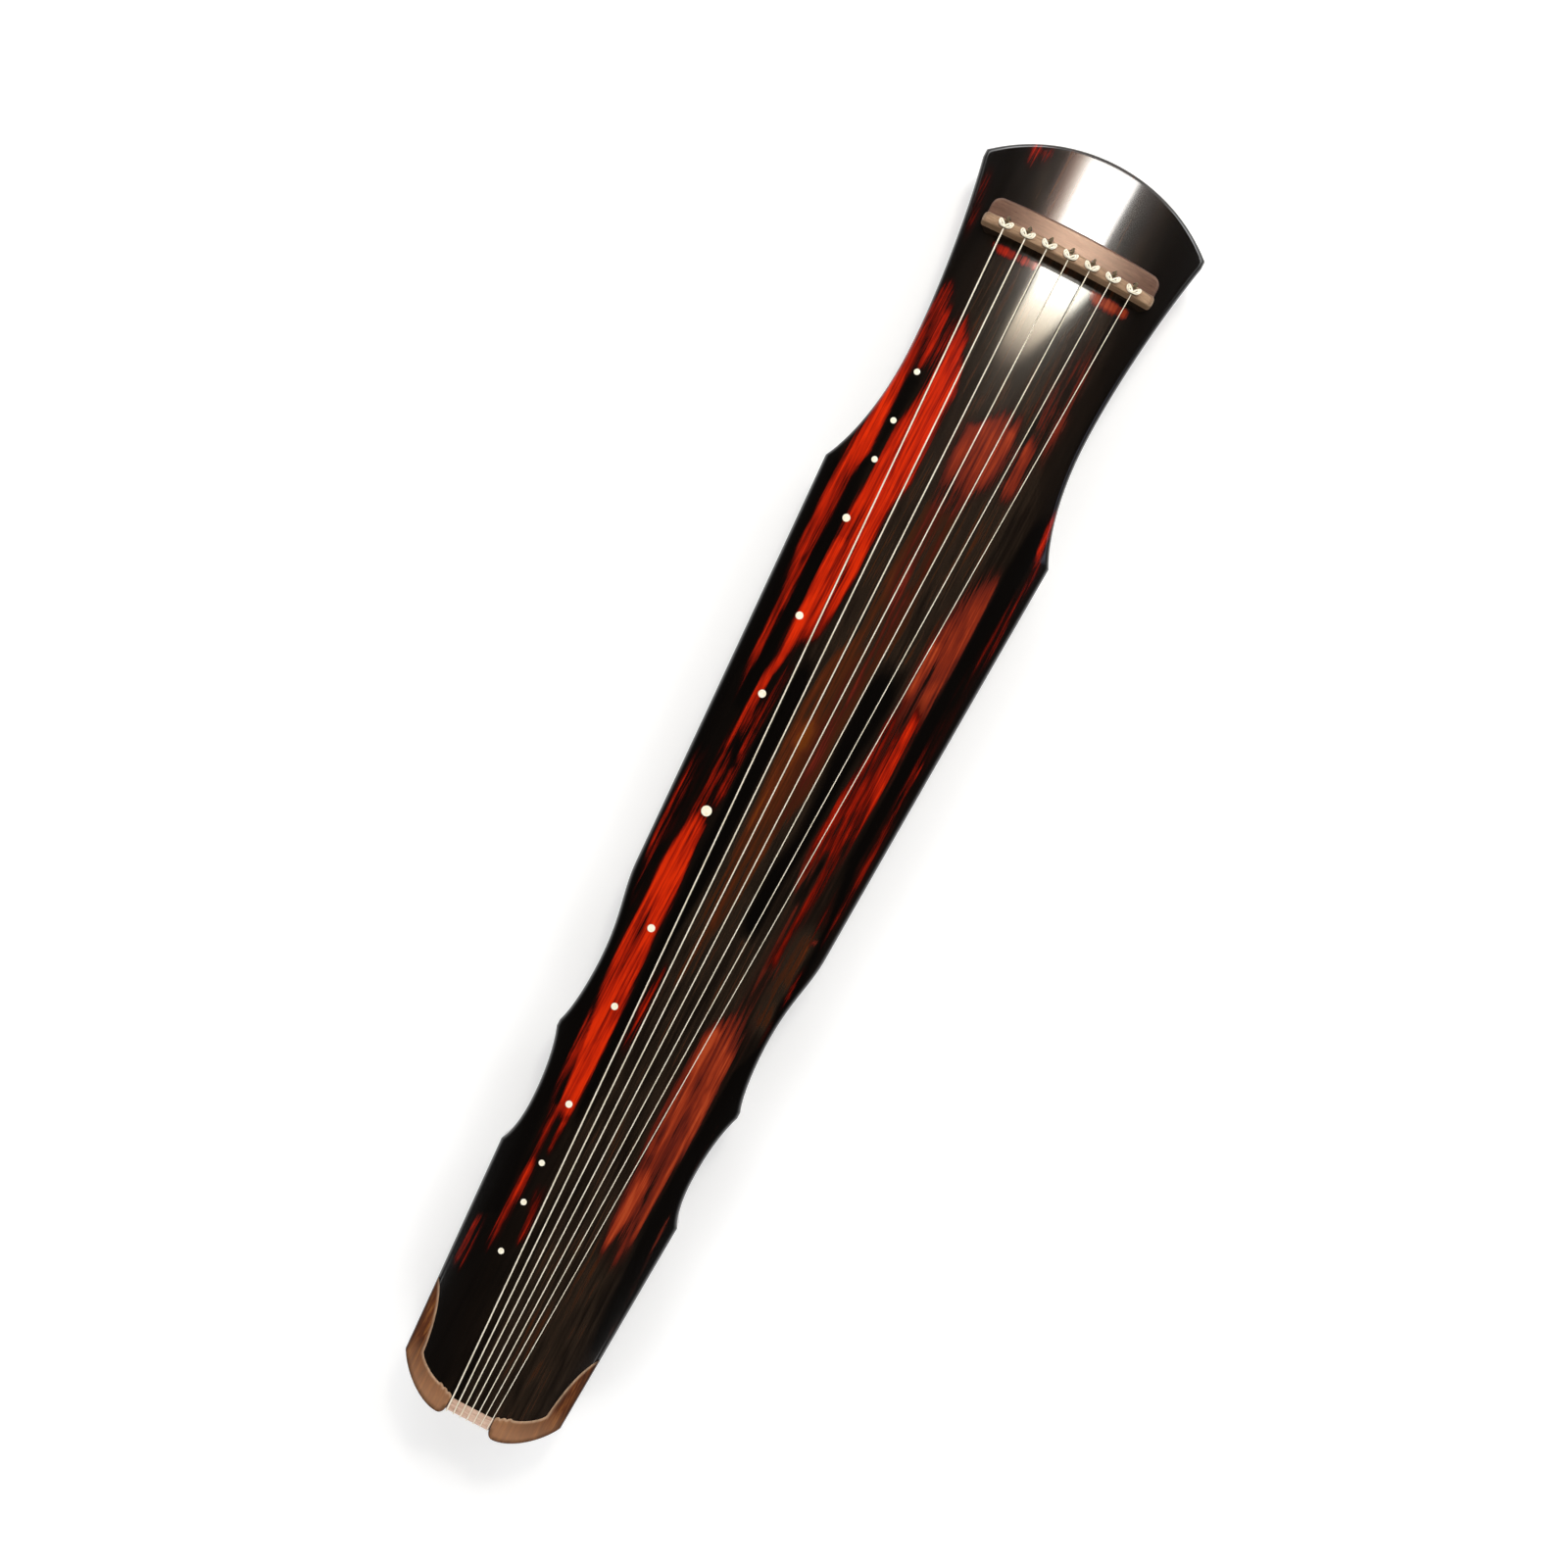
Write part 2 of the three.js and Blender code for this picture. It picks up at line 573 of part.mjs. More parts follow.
// The silk cord from behind the knot, over the bridge and down through the head to its peg
function cordRoute(number) {
  const y = bridgeY(number);
  const radius = CORD_DIAMETER / 2;
  const top = bridgeTop(y);
  const overTop = top + CLEARANCE + radius;
  const backX = BRIDGE_BACK_X;
  const holeZ = domeHeight(CHANNEL_X, y) + STRIP_RISE;
  const points = [
    [backX - BRIDGE_EDGE, overTop],
    [backX + radius / 2, top + radius],
    [backX + CORD_DIAMETER / 2 + CLEARANCE, top - BRIDGE_EDGE],
    [CHANNEL_X - radius, holeZ + CORD_DIAMETER],
    [CHANNEL_X - radius / 4, holeZ + radius / 2],
    [CHANNEL_X, holeZ - CORD_DIAMETER],
    [CHANNEL_X, PEG_TOP + CLEARANCE],
  ];
  return points.map(([x, z]) => new THREE.Vector3(x, y, z));
}

// The end of the cord that turns with the peg: down its bore, out of the side hole, round its neck
function tieRoute(number) {
  const y = bridgeY(number);
  const radius = PEG_NECK / 2 + CLEARANCE + WINDING_GAP / 4 + CORD_DIAMETER / 2;
  const holeZ = PEG_TOP - PEG_HOLE_DEPTH;
  const bend = CORD_DIAMETER / 2;
  const points = [
    new THREE.Vector3(CHANNEL_X, y, PEG_TOP - CLEARANCE),
    new THREE.Vector3(CHANNEL_X, y, holeZ + bend),
    new THREE.Vector3(CHANNEL_X + bend / 4, y, holeZ + bend / 4),
    new THREE.Vector3(CHANNEL_X + bend, y, holeZ),
    new THREE.Vector3(CHANNEL_X + PEG_NECK / 2 + CLEARANCE, y, holeZ),
  ];
  const pitch = CORD_DIAMETER + WINDING_GAP;
  for (let step = 1; step <= TIE_STEPS; step += 1) {
    const angle = 2 * Math.PI * step / STEPS_PER_TURN;
    const x = CHANNEL_X + radius * Math.cos(angle);
    const z = holeZ - pitch * step / STEPS_PER_TURN;
    points.push(new THREE.Vector3(x, y + radius * Math.sin(angle), z));
  }
  return points;
}

// The upright channels that the cords go down through
function channels(low, high) {
  const upright = new THREE.Vector3(0, 1, 0).applyAxisAngle(new THREE.Vector3(1, 0, 0), Math.PI / 2);
  const holes = [];
  for (let number = 0; number < STRING_COUNT; number += 1) {
    const centre = new THREE.Vector3(CHANNEL_X, bridgeY(number), (low + high) / 2);
    holes.push(rod(centre, upright, CHANNEL_DIAMETER, high - low, CORD_SIDES));
  }
  return wasm.Manifold.union(holes);
}

// Plan of the slot that the pegs hang in
function poolPlan(clear) {
  const corner = POOL_WIDTH / 4;
  return roundedRectangle(CHANNEL_X, 0, POOL_WIDTH - 2 * clear, POOL_LENGTH - 2 * clear, corner);
}

// Plan of the head strip, square against the bridge, bowed and rounded towards the head
function stripPlan(clear) {
  const shape = new THREE.Shape();
  const backX = STRIP_X - STRIP_DEPTH / 2 - clear;
  const frontX = STRIP_X + STRIP_DEPTH / 2 + clear;
  const half = STRIP_SPAN / 2 + clear;
  shape.moveTo(backX, -half);
  shape.lineTo(frontX - STRIP_CORNER, -half);
  shape.absarc(frontX - STRIP_CORNER, -half + STRIP_CORNER, STRIP_CORNER, -Math.PI / 2, 0);
  shape.quadraticCurveTo(frontX + 2 * STRIP_BOW, 0, frontX, half - STRIP_CORNER);
  shape.absarc(frontX - STRIP_CORNER, half - STRIP_CORNER, STRIP_CORNER, 0, Math.PI / 2);
  shape.lineTo(backX, half);
  return shape;
}

// Plan of a crown corner on one side, past the outline of the body outside
function crownPlan(side, clear) {
  const shape = new THREE.Shape();
  const wide = TAIL_WIDTH / 2 + OVERRUN;
  const inner = STRING_GAP / 2 - clear;
  const startX = at(LENGTH - CROWN_LENGTH) + clear;
  const slant = (CROWN_BACK - CROWN_INNER_BACK) / CROWN_LOBES;
  const lobeX = (lobe) => at(LENGTH - CROWN_INNER_BACK - lobe * slant) + clear;
  const lobesHalf = STRING_GAP / 2 + CROWN_LOBES * CROWN_LOBE_WIDTH;
  shape.moveTo(startX, side * wide);
  shape.lineTo(startX, side * (TAIL_WIDTH / 2 + CROWN_FLARE - clear));
  sweepTo(shape, at(LENGTH - CROWN_TURN) + clear, side * (CROWN_TURN_HALF - clear), CROWN_SIDE_SHARES);
  sweepTo(shape, lobeX(CROWN_LOBES), side * lobesHalf, CROWN_TURN_SHARES);
  for (let lobe = CROWN_LOBES - 1; lobe >= 0; lobe -= 1) {
    const edge = lobe === 0 ? inner : STRING_GAP / 2 + lobe * CROWN_LOBE_WIDTH;
    const middle = STRING_GAP / 2 + (lobe + 1 / 2) * CROWN_LOBE_WIDTH;
    const peakX = lobeX(lobe + 1 / 2) + 2 * CROWN_LOBE_DEPTH;
    shape.quadraticCurveTo(peakX, side * middle, lobeX(lobe), side * edge);
  }
  shape.lineTo(at(LENGTH) - OVERRUN, side * inner);
  shape.lineTo(at(LENGTH) - OVERRUN, side * wide);
  return shape;
}

// Plan of a tail support below the body
function supportPlan(side, clear) {
  const shape = new THREE.Shape();
  const wide = TAIL_WIDTH / 2 + OVERRUN;
  const inner = STRING_GAP / 2 - clear;
  shape.moveTo(at(LENGTH - SUPPORT_LENGTH) + clear, side * wide);
  shape.lineTo(at(LENGTH - SUPPORT_LENGTH) + clear, side * TAIL_WIDTH / 2);
  sweepTo(shape, at(LENGTH - NUT_DEPTH) + clear, side * inner, SUPPORT_SHARES);
  shape.lineTo(at(LENGTH) - OVERRUN, side * inner);
  shape.lineTo(at(LENGTH) - OVERRUN, side * wide);
  return shape;
}

// The seat of a stud in the dome: where it lies, and the way that the surface faces
function studSeat(index) {
  const x = atShare(STUD_SHARES[index]);
  const last = STUD_SHARES[STUD_SHARES.length - 1];
  const along = (STUD_SHARES[index] - STUD_SHARES[0]) / (last - STUD_SHARES[0]);
  const straight = STUD_FIRST_OFFSET + (STUD_LAST_OFFSET - STUD_FIRST_OFFSET) * along;
  const y = straight + STUD_BOW * 4 * along * (1 - along);
  const slopeX = (domeHeight(x + CLEARANCE, y) - domeHeight(x - CLEARANCE, y)) / (2 * CLEARANCE);
  const slopeY = (domeHeight(x, y + CLEARANCE) - domeHeight(x, y - CLEARANCE)) / (2 * CLEARANCE);
  const normal = new THREE.Vector3(-slopeX, -slopeY, 1).normalize();
  const diameter = STUD_DIAMETER * STUD_SIZE_SHARES[index];
  return { point: new THREE.Vector3(x, y, domeHeight(x, y)), normal, diameter };
}

// A stud, or the pocket that it is let into
function studSolid(index, clear) {
  const { point, normal, diameter } = studSeat(index);
  const low = STUD_RISE - STUD_THICK - clear;
  const high = clear > 0 ? STUD_THICK : STUD_RISE;
  const centre = point.clone().addScaledVector(normal, (low + high) / 2);
  return rod(centre, normal, diameter + 2 * clear, high - low, TURNED_SIDES);
}

// The domed top board, hollowed below
function topBoard() {
  const plank = prism(outline(), BOARD_SEAM, TOP_OF_ALL).intersect(domeSolid(0));
  const hollowLow = BOARD_SEAM - OVERRUN;
  const hollowEnds = [at(LENGTH - TAIL_BLOCK), at(HEAD_BLOCK)];
  const hollowSpan = block(...hollowEnds, -HEAD_WIDTH, HEAD_WIDTH, hollowLow, TOP_OF_ALL);
  const hollowPlan = prism(outline(RIM), hollowLow, TOP_OF_ALL).intersect(hollowSpan);
  const soundHoles = [[DRAGON_SHARE, DRAGON_LENGTH], [PHOENIX_SHARE, PHOENIX_LENGTH]];
  const ceilings = soundHoles.map(([share, length]) => {
    const size = [length + 2 * ABSORB_MARGIN, SOUND_WIDTH + 2 * ABSORB_MARGIN];
    const plan = roundedRectangle(atShare(share), 0, ...size, ABSORB_MARGIN);
    return overDome(plan, -WALL - ABSORB_DROP);
  });
  const hollow = hollowPlan.intersect(domeSolid(-WALL)).subtract(wasm.Manifold.union(ceilings));
  const cuts = [
    hollow,
    prism(poolPlan(0), hollowLow, POOL_CEILING, CORNER_STEPS),
    channels(STAND, TOP_OF_ALL),
    overDome(stripPlan(CLEARANCE), -STRIP_SINK - CLEARANCE),
    overDome(crownPlan(1, CLEARANCE), -CROWN_SINK - CLEARANCE),
    overDome(crownPlan(-1, CLEARANCE), -CROWN_SINK - CLEARANCE),
    nutSeat(),
  ];
  for (let index = 0; index < STUD_SHARES.length; index += 1) {
    cuts.push(studSolid(index, CLEARANCE));
  }
  return plank.subtract(wasm.Manifold.union(cuts));
}

// Height of the underside of the tail nut
const NUT_LOW = domeHeight(at(LENGTH), 0) + NUT_RISE - NUT_HEIGHT;

// The seat of the tail nut in the end of the top board
function nutSeat() {
  const fromX = NUT_FACE_X + NUT_DEPTH + CLEARANCE;
  const half = STRING_GAP / 2;
  return block(at(LENGTH) - OVERRUN, fromX, -half, half, NUT_LOW - CLEARANCE, TOP_OF_ALL);
}

// The flat bottom board
function bottomBoard() {
  const plank = prism(outline(), STAND, BOARD_SEAM);
  const low = STAND - OVERRUN;
  const high = BOARD_SEAM + OVERRUN;
  const half = STRING_GAP / 2;
  const socket = SOCKET_SIDE + 2 * CLEARANCE;
  const cuts = [
    prism(soundPlan(DRAGON_SHARE, DRAGON_LENGTH), low, high, CORNER_STEPS),
    prism(soundPlan(PHOENIX_SHARE, PHOENIX_LENGTH), low, high, CORNER_STEPS),
    prism(poolPlan(0), low, high, CORNER_STEPS),
    block(at(LENGTH) - OVERRUN, NUT_FACE_X + NUT_DEPTH + CLEARANCE, -half, half, low, high),
  ];
  [1, -1].forEach((side) => {
    const y = side * FOOT_SPACING / 2;
    cuts.push(block(FOOT_X - socket / 2, FOOT_X + socket / 2, y - socket / 2, y + socket / 2, low, high));
    cuts.push(prism(supportPlan(side, CLEARANCE), low, STAND + SUPPORT_SINK + CLEARANCE));
  });
  return plank.subtract(wasm.Manifold.union(cuts));
}

// Plan of a sound hole
function soundPlan(share, length) {
  return roundedRectangle(atShare(share), 0, length, SOUND_WIDTH, SOUND_WIDTH / 4);
}

// A post between the boards, with its top fitted under the hollow's ceiling
function post(body) {
  return body.intersect(domeSolid(-WALL - CLEARANCE));
}

function heavenPost() {
  const high = BOARD_SEAM + SHOULDER_THICK;
  const centre = new THREE.Vector3(atShare(HEAVEN_SHARE), 0, (BOARD_SEAM + high) / 2);
  const up = new THREE.Vector3(0, 0, 1);
  return post(rod(centre, up, HEAVEN_DIAMETER, high - BOARD_SEAM, POST_SIDES));
}

function earthPost() {
  const x = atShare(EARTH_SHARE);
  const half = EARTH_SIDE / 2;
  return post(block(x - half, x + half, -half, half, BOARD_SEAM, BOARD_SEAM + SHOULDER_THICK));
}

// A shape drawn across the body, with its x along Y and its y upward, made thick along X
function acrossBody(shape, fromX, thick, edge) {
  const settings = {
    depth: thick - 2 * edge,
    bevelEnabled: edge > 0,
    bevelThickness: edge,
    bevelSize: edge,
    bevelOffset: -edge,
    bevelSegments: 2,
    curveSegments: CURVE_STEPS,
  };
  const turn = new THREE.Matrix4().makeBasis(
    new THREE.Vector3(0, 1, 0),
    new THREE.Vector3(0, 0, 1),
    new THREE.Vector3(1, 0, 0),
  );
  return new THREE.ExtrudeGeometry(shape, settings).applyMatrix4(turn).translate(fromX + edge, 0, 0);
}

// A shape drawn along the body, with its x along X and its y upward, made thick along Y
function alongBody(shape, middleY, thick, edge) {
  const settings = {
    depth: thick - 2 * edge,
    bevelEnabled: edge > 0,
    bevelThickness: edge,
    bevelSize: edge,
    bevelOffset: -edge,
    bevelSegments: 2,
    curveSegments: CURVE_STEPS,
  };
  const turn = new THREE.Matrix4().makeBasis(
    new THREE.Vector3(1, 0, 0),
    new THREE.Vector3(0, 0, 1),
    new THREE.Vector3(0, -1, 0),
  );
  const across = middleY + thick / 2 - edge;
  return new THREE.ExtrudeGeometry(shape, settings).applyMatrix4(turn).translate(0, across, 0);
}

// The bridge: an arched ridge whose foot follows the dome
function bridge() {
  const half = BRIDGE_SPAN / 2;
  const middle = bridgeTop(0);
  const end = bridgeTop(half);
  const corner = half - BRIDGE_CORNER;
  const shoulder = bridgeTop(corner);
  const low = end - BRIDGE_HEIGHT - BRIDGE_ARCH;
  const shape = new THREE.Shape();
  shape.moveTo(-half, low);
  shape.lineTo(half, low);
  shape.lineTo(half, end - BRIDGE_CORNER);
  shape.quadraticCurveTo(half, shoulder, corner, shoulder);
  shape.quadraticCurveTo(0, 2 * middle - shoulder, -corner, shoulder);
  shape.quadraticCurveTo(-half, shoulder, -half, end - BRIDGE_CORNER);
  const ridge = solid(acrossBody(shape, BRIDGE_EDGE_X, BRIDGE_THICK, BRIDGE_EDGE));
  return ridge.subtract(domeSolid(CLEARANCE));
}

// The head strip, let into the board ahead of the bridge
function headStrip() {
  return domeSlice(stripPlan(0), STRIP_RISE, -STRIP_SINK).subtract(channels(STAND, TOP_OF_ALL));
}

// The seat plate of the pegs
function poolPlate() {
  const low = POOL_CEILING - CLEARANCE - PLATE_THICK;
  const plate = prism(poolPlan(CLEARANCE), low, low + PLATE_THICK, CORNER_STEPS);
  return plate.subtract(channels(STAND, TOP_OF_ALL));
}

// The tail nut, rounded over where the strings turn down
function tailNut() {
  const high = domeHeight(at(LENGTH), 0) + NUT_RISE;
  const shape = new THREE.Shape();
  shape.moveTo(NUT_FACE_X + NUT_DEPTH, NUT_LOW);
  shape.lineTo(NUT_FACE_X + NUT_DEPTH, high);
  shape.absarc(NUT_CONTACT_X, high - NUT_ROUND, NUT_ROUND, Math.PI / 2, Math.PI);
  shape.lineTo(NUT_FACE_X, NUT_LOW);
  return alongBody(shape, 0, STRING_GAP - 2 * CLEARANCE, 0);
}

// The lower tail nut, rounded under where the strings turn towards the feet
function lowerNut() {
  const low = STAND - LOWER_NUT_DROP;
  const high = BOARD_SEAM - CLEARANCE;
  const shape = new THREE.Shape();
  shape.moveTo(NUT_FACE_X + NUT_DEPTH, high);
  shape.lineTo(NUT_FACE_X, high);
  shape.absarc(NUT_CONTACT_X, low + NUT_ROUND, NUT_ROUND, Math.PI, 1.5 * Math.PI);
  shape.lineTo(NUT_FACE_X + NUT_DEPTH, low);
  return alongBody(shape, 0, STRING_GAP - 2 * CLEARANCE, 0);
}

// A crown corner, let into the tail of the top board and cut to its outline
function crownCorner(side) {
  const inlay = domeSlice(crownPlan(side, 0), CROWN_RISE, -CROWN_SINK);
  return inlay.intersect(prism(outline(), STAND, TOP_OF_ALL));
}

// A tail support, let into the underside and cut to the outline
function tailSupport(side) {
  const low = STAND - SUPPORT_DROP;
  const high = STAND + SUPPORT_SINK;
  return prism(supportPlan(side, 0), low, high).intersect(prism(outline(), low, high));
}

// A goose foot: an eight-sided turned leg with a square tenon
function gooseFoot(side) {
  const neckTop = STAND - FOOT_SHOULDER_HEIGHT - CLEARANCE;
  const profile = [
    [0, 0],
    [FOOT_BASE / 2 - FOOT_CHAMFER, 0],
    [FOOT_BASE / 2, FOOT_CHAMFER],
    [FOOT_BASE / 2, FOOT_BASE_HEIGHT],
    [FOOT_NECK / 2, FOOT_BASE_HEIGHT + FOOT_FLARE_HEIGHT],
    [FOOT_NECK / 2, neckTop],
    [FOOT_SHOULDER / 2, STAND - CLEARANCE],
    [0, STAND - CLEARANCE],
  ].map(([radius, z]) => new THREE.Vector2(radius, z));
  const lathed = new THREE.LatheGeometry(profile, CORD_SIDES);
  const turned = lathed.rotateX(Math.PI / 2).rotateZ(Math.PI / CORD_SIDES);
  const half = TENON_SIDE / 2;
  const tenonFrom = STAND - CLEARANCE - FOOT_SHOULDER_HEIGHT / 2;
  const tenon = block(-half, half, -half, half, tenonFrom, STAND + TENON_LENGTH);
  return solid(turned).add(tenon).translate([FOOT_X, side * FOOT_SPACING / 2, 0]);
}

// The hardwood socket that a foot's tenon goes up into
function footSocket(side) {
  const half = SOCKET_SIDE / 2;
  const hole = TENON_SIDE / 2 + CLEARANCE;
  const outer = block(-half, half, -half, half, STAND, STAND + SOCKET_HEIGHT);
  const inner = block(-hole, hole, -hole, hole, STAND - OVERRUN, STAND + TENON_LENGTH + CLEARANCE);
  return outer.subtract(inner).translate([FOOT_X, side * FOOT_SPACING / 2, 0]);
}

// A peg guard: a small foot that flares up to the body beside the pegs
function pegGuard(side) {
  const x = CHANNEL_X;
  const sole = GUARD_SOLE_LENGTH / 2;
  const wide = GUARD_TOP_LENGTH / 2;
  const shape = new THREE.Shape();
  shape.moveTo(x - sole, 0);
  shape.lineTo(x + sole, 0);
  sweepTo(shape, x + wide, STAND, GUARD_FLARE_SHARES);
  shape.lineTo(x - wide, STAND);
  const flare = new THREE.Path();
  flare.moveTo(x - sole, 0);
  sweepTo(flare, x - wide, STAND, GUARD_FLARE_SHARES);
  const back = flare.getPoints(CURVE_STEPS).reverse().slice(1, -1);
  back.forEach((point) => shape.lineTo(point.x, point.y));
  const middleY = POOL_LENGTH / 2 + GUARD_GAP + GUARD_THICK / 2;
  return alongBody(shape, side * middleY, GUARD_THICK, GUARD_EDGE);
}

// A tuning peg: a turned post, bored from the top to a side hole in its neck
function tuningPeg(number) {
  const neckFrom = PEG_TOP - PEG_HEAD_HEIGHT - PEG_SHOULDER_HEIGHT;
  const neckTo = neckFrom - PEG_NECK_HEIGHT;
  const profile = [
    [0, PEG_CLEAR],
    [PEG_END / 2 - PEG_END_ROUND, PEG_CLEAR],
    [PEG_END / 2, PEG_CLEAR + PEG_END_ROUND],
    [PEG_BELLY / 2, neckTo - PEG_SWELL_HEIGHT],
    [PEG_NECK / 2, neckTo],
    [PEG_NECK / 2, neckFrom],
    [PEG_HEAD / 2, neckFrom + PEG_SHOULDER_HEIGHT],
    [PEG_HEAD / 2, PEG_TOP],
    [0, PEG_TOP],
  ].map(([radius, z]) => new THREE.Vector2(radius, z));
  const turned = solid(new THREE.LatheGeometry(profile, TURNED_SIDES).rotateX(Math.PI / 2));
  const bore = (CORD_DIAMETER + 2 * CLEARANCE) / Math.cos(Math.PI / CORD_SIDES);
  const holeZ = PEG_TOP - PEG_HOLE_DEPTH;
  const down = new THREE.Vector3(0, 0, (holeZ - bore / 2 + PEG_TOP + OVERRUN) / 2);
  const out = new THREE.Vector3((PEG_NECK - bore) / 2, 0, holeZ);
  const cuts = [
    rod(down, new THREE.Vector3(0, 0, 1), bore, PEG_TOP + OVERRUN - holeZ + bore / 2, CORD_SIDES),
    rod(out, new THREE.Vector3(1, 0, 0), bore, PEG_NECK, CORD_SIDES),
  ];
  return turned.subtract(wasm.Manifold.union(cuts)).translate([CHANNEL_X, bridgeY(number), 0]);
}

// The instrument, one mesh for each piece
const guqin = new THREE.Group();

function place(name, form, finish) {
  const geometry = form.isBufferGeometry ? form : geometryOf(form);
  const mesh = new THREE.Mesh(geometry, new THREE.MeshStandardMaterial(finish));
  mesh.name = name;
  guqin.add(mesh);
}

place('top_board', topBoard(), LACQUER);
place('bottom_board', bottomBoard(), RED_LACQUER);
place('heaven_post', heavenPost(), BARE_WOOD);
place('earth_post', earthPost(), BARE_WOOD);
place('bridge', bridge(), HARDWOOD);
place('head_strip', headStrip(), HARDWOOD);
place('peg_pool_plate', poolPlate(), HARDWOOD);
place('tail_nut', tailNut(), NUT_WOOD);
place('lower_tail_nut', lowerNut(), NUT_WOOD);
for (const [name, side] of [['hui_side', 1], ['near_side', -1]]) {
  place(`crown_corner_${name}`, crownCorner(side), CROWN_WOOD);
  place(`tail_support_${name}`, tailSupport(side), CROWN_WOOD);
  place(`foot_socket_${name}`, footSocket(side), HARDWOOD);
  place(`goose_foot_${name}`, gooseFoot(side), HARDWOOD);
  place(`peg_guard_${name}`, pegGuard(side), HARDWOOD);
}
for (let number = 0; number < STRING_COUNT; number += 1) {
  const diameter = stringDiameter(number);
  const route = stringRoute(number);
  const tie = tieRoute(number);
  const gaps = [
    leastGap(route.knot, diameter),
    leastGap(route.winding, diameter),
    leastGap(tie, CORD_DIAMETER),
  ];
  const printed = gaps.map((gap) => gap.toFixed(2)).join(' ');
  console.log(`string ${number + 1} least gaps of knot, winding, tie`, printed);
  place(`tuning_peg_${number + 1}`, tuningPeg(number), HARDWOOD);
  place(`string_${number + 1}`, tube(route.points, diameter, STRING_SIDES), STRING_WRAP);
  place(`tuning_cord_${number + 1}`, tube(cordRoute(number), CORD_DIAMETER, CORD_SIDES), SILK);
  place(`peg_tie_${number + 1}`, tube(tie, CORD_DIAMETER, STRING_SIDES), SILK);
}
STUD_SHARES.forEach((share, index) => {
  const label = String(index + 1).padStart(2, '0');
  place(`stud_${label}`, studSolid(index, 0), SHELL);
});

export default guqin;
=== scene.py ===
import math

import bmesh
import bpy
import numpy as np
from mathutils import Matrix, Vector


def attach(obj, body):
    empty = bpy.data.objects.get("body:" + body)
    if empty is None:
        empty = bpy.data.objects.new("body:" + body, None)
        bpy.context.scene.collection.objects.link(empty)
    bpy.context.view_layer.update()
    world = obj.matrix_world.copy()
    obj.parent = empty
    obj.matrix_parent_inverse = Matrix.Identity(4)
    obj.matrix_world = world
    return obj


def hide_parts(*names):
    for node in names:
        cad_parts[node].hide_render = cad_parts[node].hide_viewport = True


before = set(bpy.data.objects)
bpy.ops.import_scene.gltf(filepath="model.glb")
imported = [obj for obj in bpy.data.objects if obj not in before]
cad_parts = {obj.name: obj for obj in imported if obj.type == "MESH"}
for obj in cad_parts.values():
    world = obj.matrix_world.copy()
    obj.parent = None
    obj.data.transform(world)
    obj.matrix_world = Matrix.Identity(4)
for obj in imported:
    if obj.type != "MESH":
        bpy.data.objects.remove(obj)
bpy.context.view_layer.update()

# A seven-string zither, lacquered, seen from above with its head to the upper right.
# Sizes are in millimetres and become metres where a mesh is made. The head points along +X
# and the studs lie on the +Y side.
MM = 0.001

# Plan of the body
HEAD_LENGTH = 101
STRING_LENGTH = 1117
TAIL_LENGTH = 10
LENGTH = HEAD_LENGTH + STRING_LENGTH + TAIL_LENGTH
HEAD_WIDTH = 213.4
SHOULDER_WIDTH = 217.6
TAIL_WIDTH = 152
TAIL_TIP_WIDTH = 55
STRING_GAP = 41.4
HEAD_ARC_DEPTH = 37.4
HEAD_CORNER_LENGTH = 7.2
TAIL_TURN = 33
NOTCH_DEPTH = 7.3
SHOULDER_SHARE = 0.2122

# The side after the head: share of the string length, width there, handles of the curve
SIDE_CURVES = [
    (0.1146, 172.8, (0.25, 0.49, 0.68, 1)),
    (SHOULDER_SHARE, SHOULDER_WIDTH, (0.47, 0, 0.82, 0.5)),
    (0.5613, 185.2, (0.33, 0.35, 0.67, 0.69)),
    (0.6436, 162.6, (0.31, 0.12, 0.51, 1)),
]
CUSP_SHARE = 0.6992
CUSP_WIDTH = 176.6
CUSP_LENGTH = 6
CUSP_HANDLES = (0.42, 0, 0.81, 0.39)
WAIST_CURVES = [
    (0.7628, 156.4, (0.16, 0.43, 0.51, 1)),
    (0.7995, 172, (0.46, 0, 0.8, 0.42)),
]
CROWN_SIDE_HANDLES = (0.12, 0.45, 0.5, 0.85)
CROWN_TURN_HANDLES = (0.35, 0.1, 0.85, 0.6)
TAIL_TURN_HANDLES = (0.52, 0.21, 1, 0.67)
TAIL_TIP_HANDLES = (0, 0.59, 0.4, 1)

# Heights
STAND = 24
BOARD_SEAM = 34
THICKS = (38, 51, 40)  # at the head tip, the shoulders and the tail
DROPS = (9, 15, 11)  # how far the dome falls to the sides there
DOME_FLAT_SHARE = 0.35
DOME_TAPER = 1.15
RIM_ROUND = 3.6  # lacquered edge between the dome and the sides
UNDER_ROUND = 2.6

# Hollow, sound holes and peg slot
WALL = 10
HOLLOW_RIM = 18
HEAD_BLOCK = 152
TAIL_BLOCK = 96
ABSORB_DROP = 8
ABSORB_MARGIN = 14
SOUND_WIDTH = 26
SOUND_HOLES = ((0.375, 210), (0.84, 105))
POOL_LENGTH = 146.6
POOL_WIDTH = 20
POOL_CEILING = 42
PEG_TOP = 37.4
PEG_NECK = 4.2
PEG_BORE = 1.7
PEG_HOLE_Z = PEG_TOP - 8
SOCKET_SIDE = 29.6

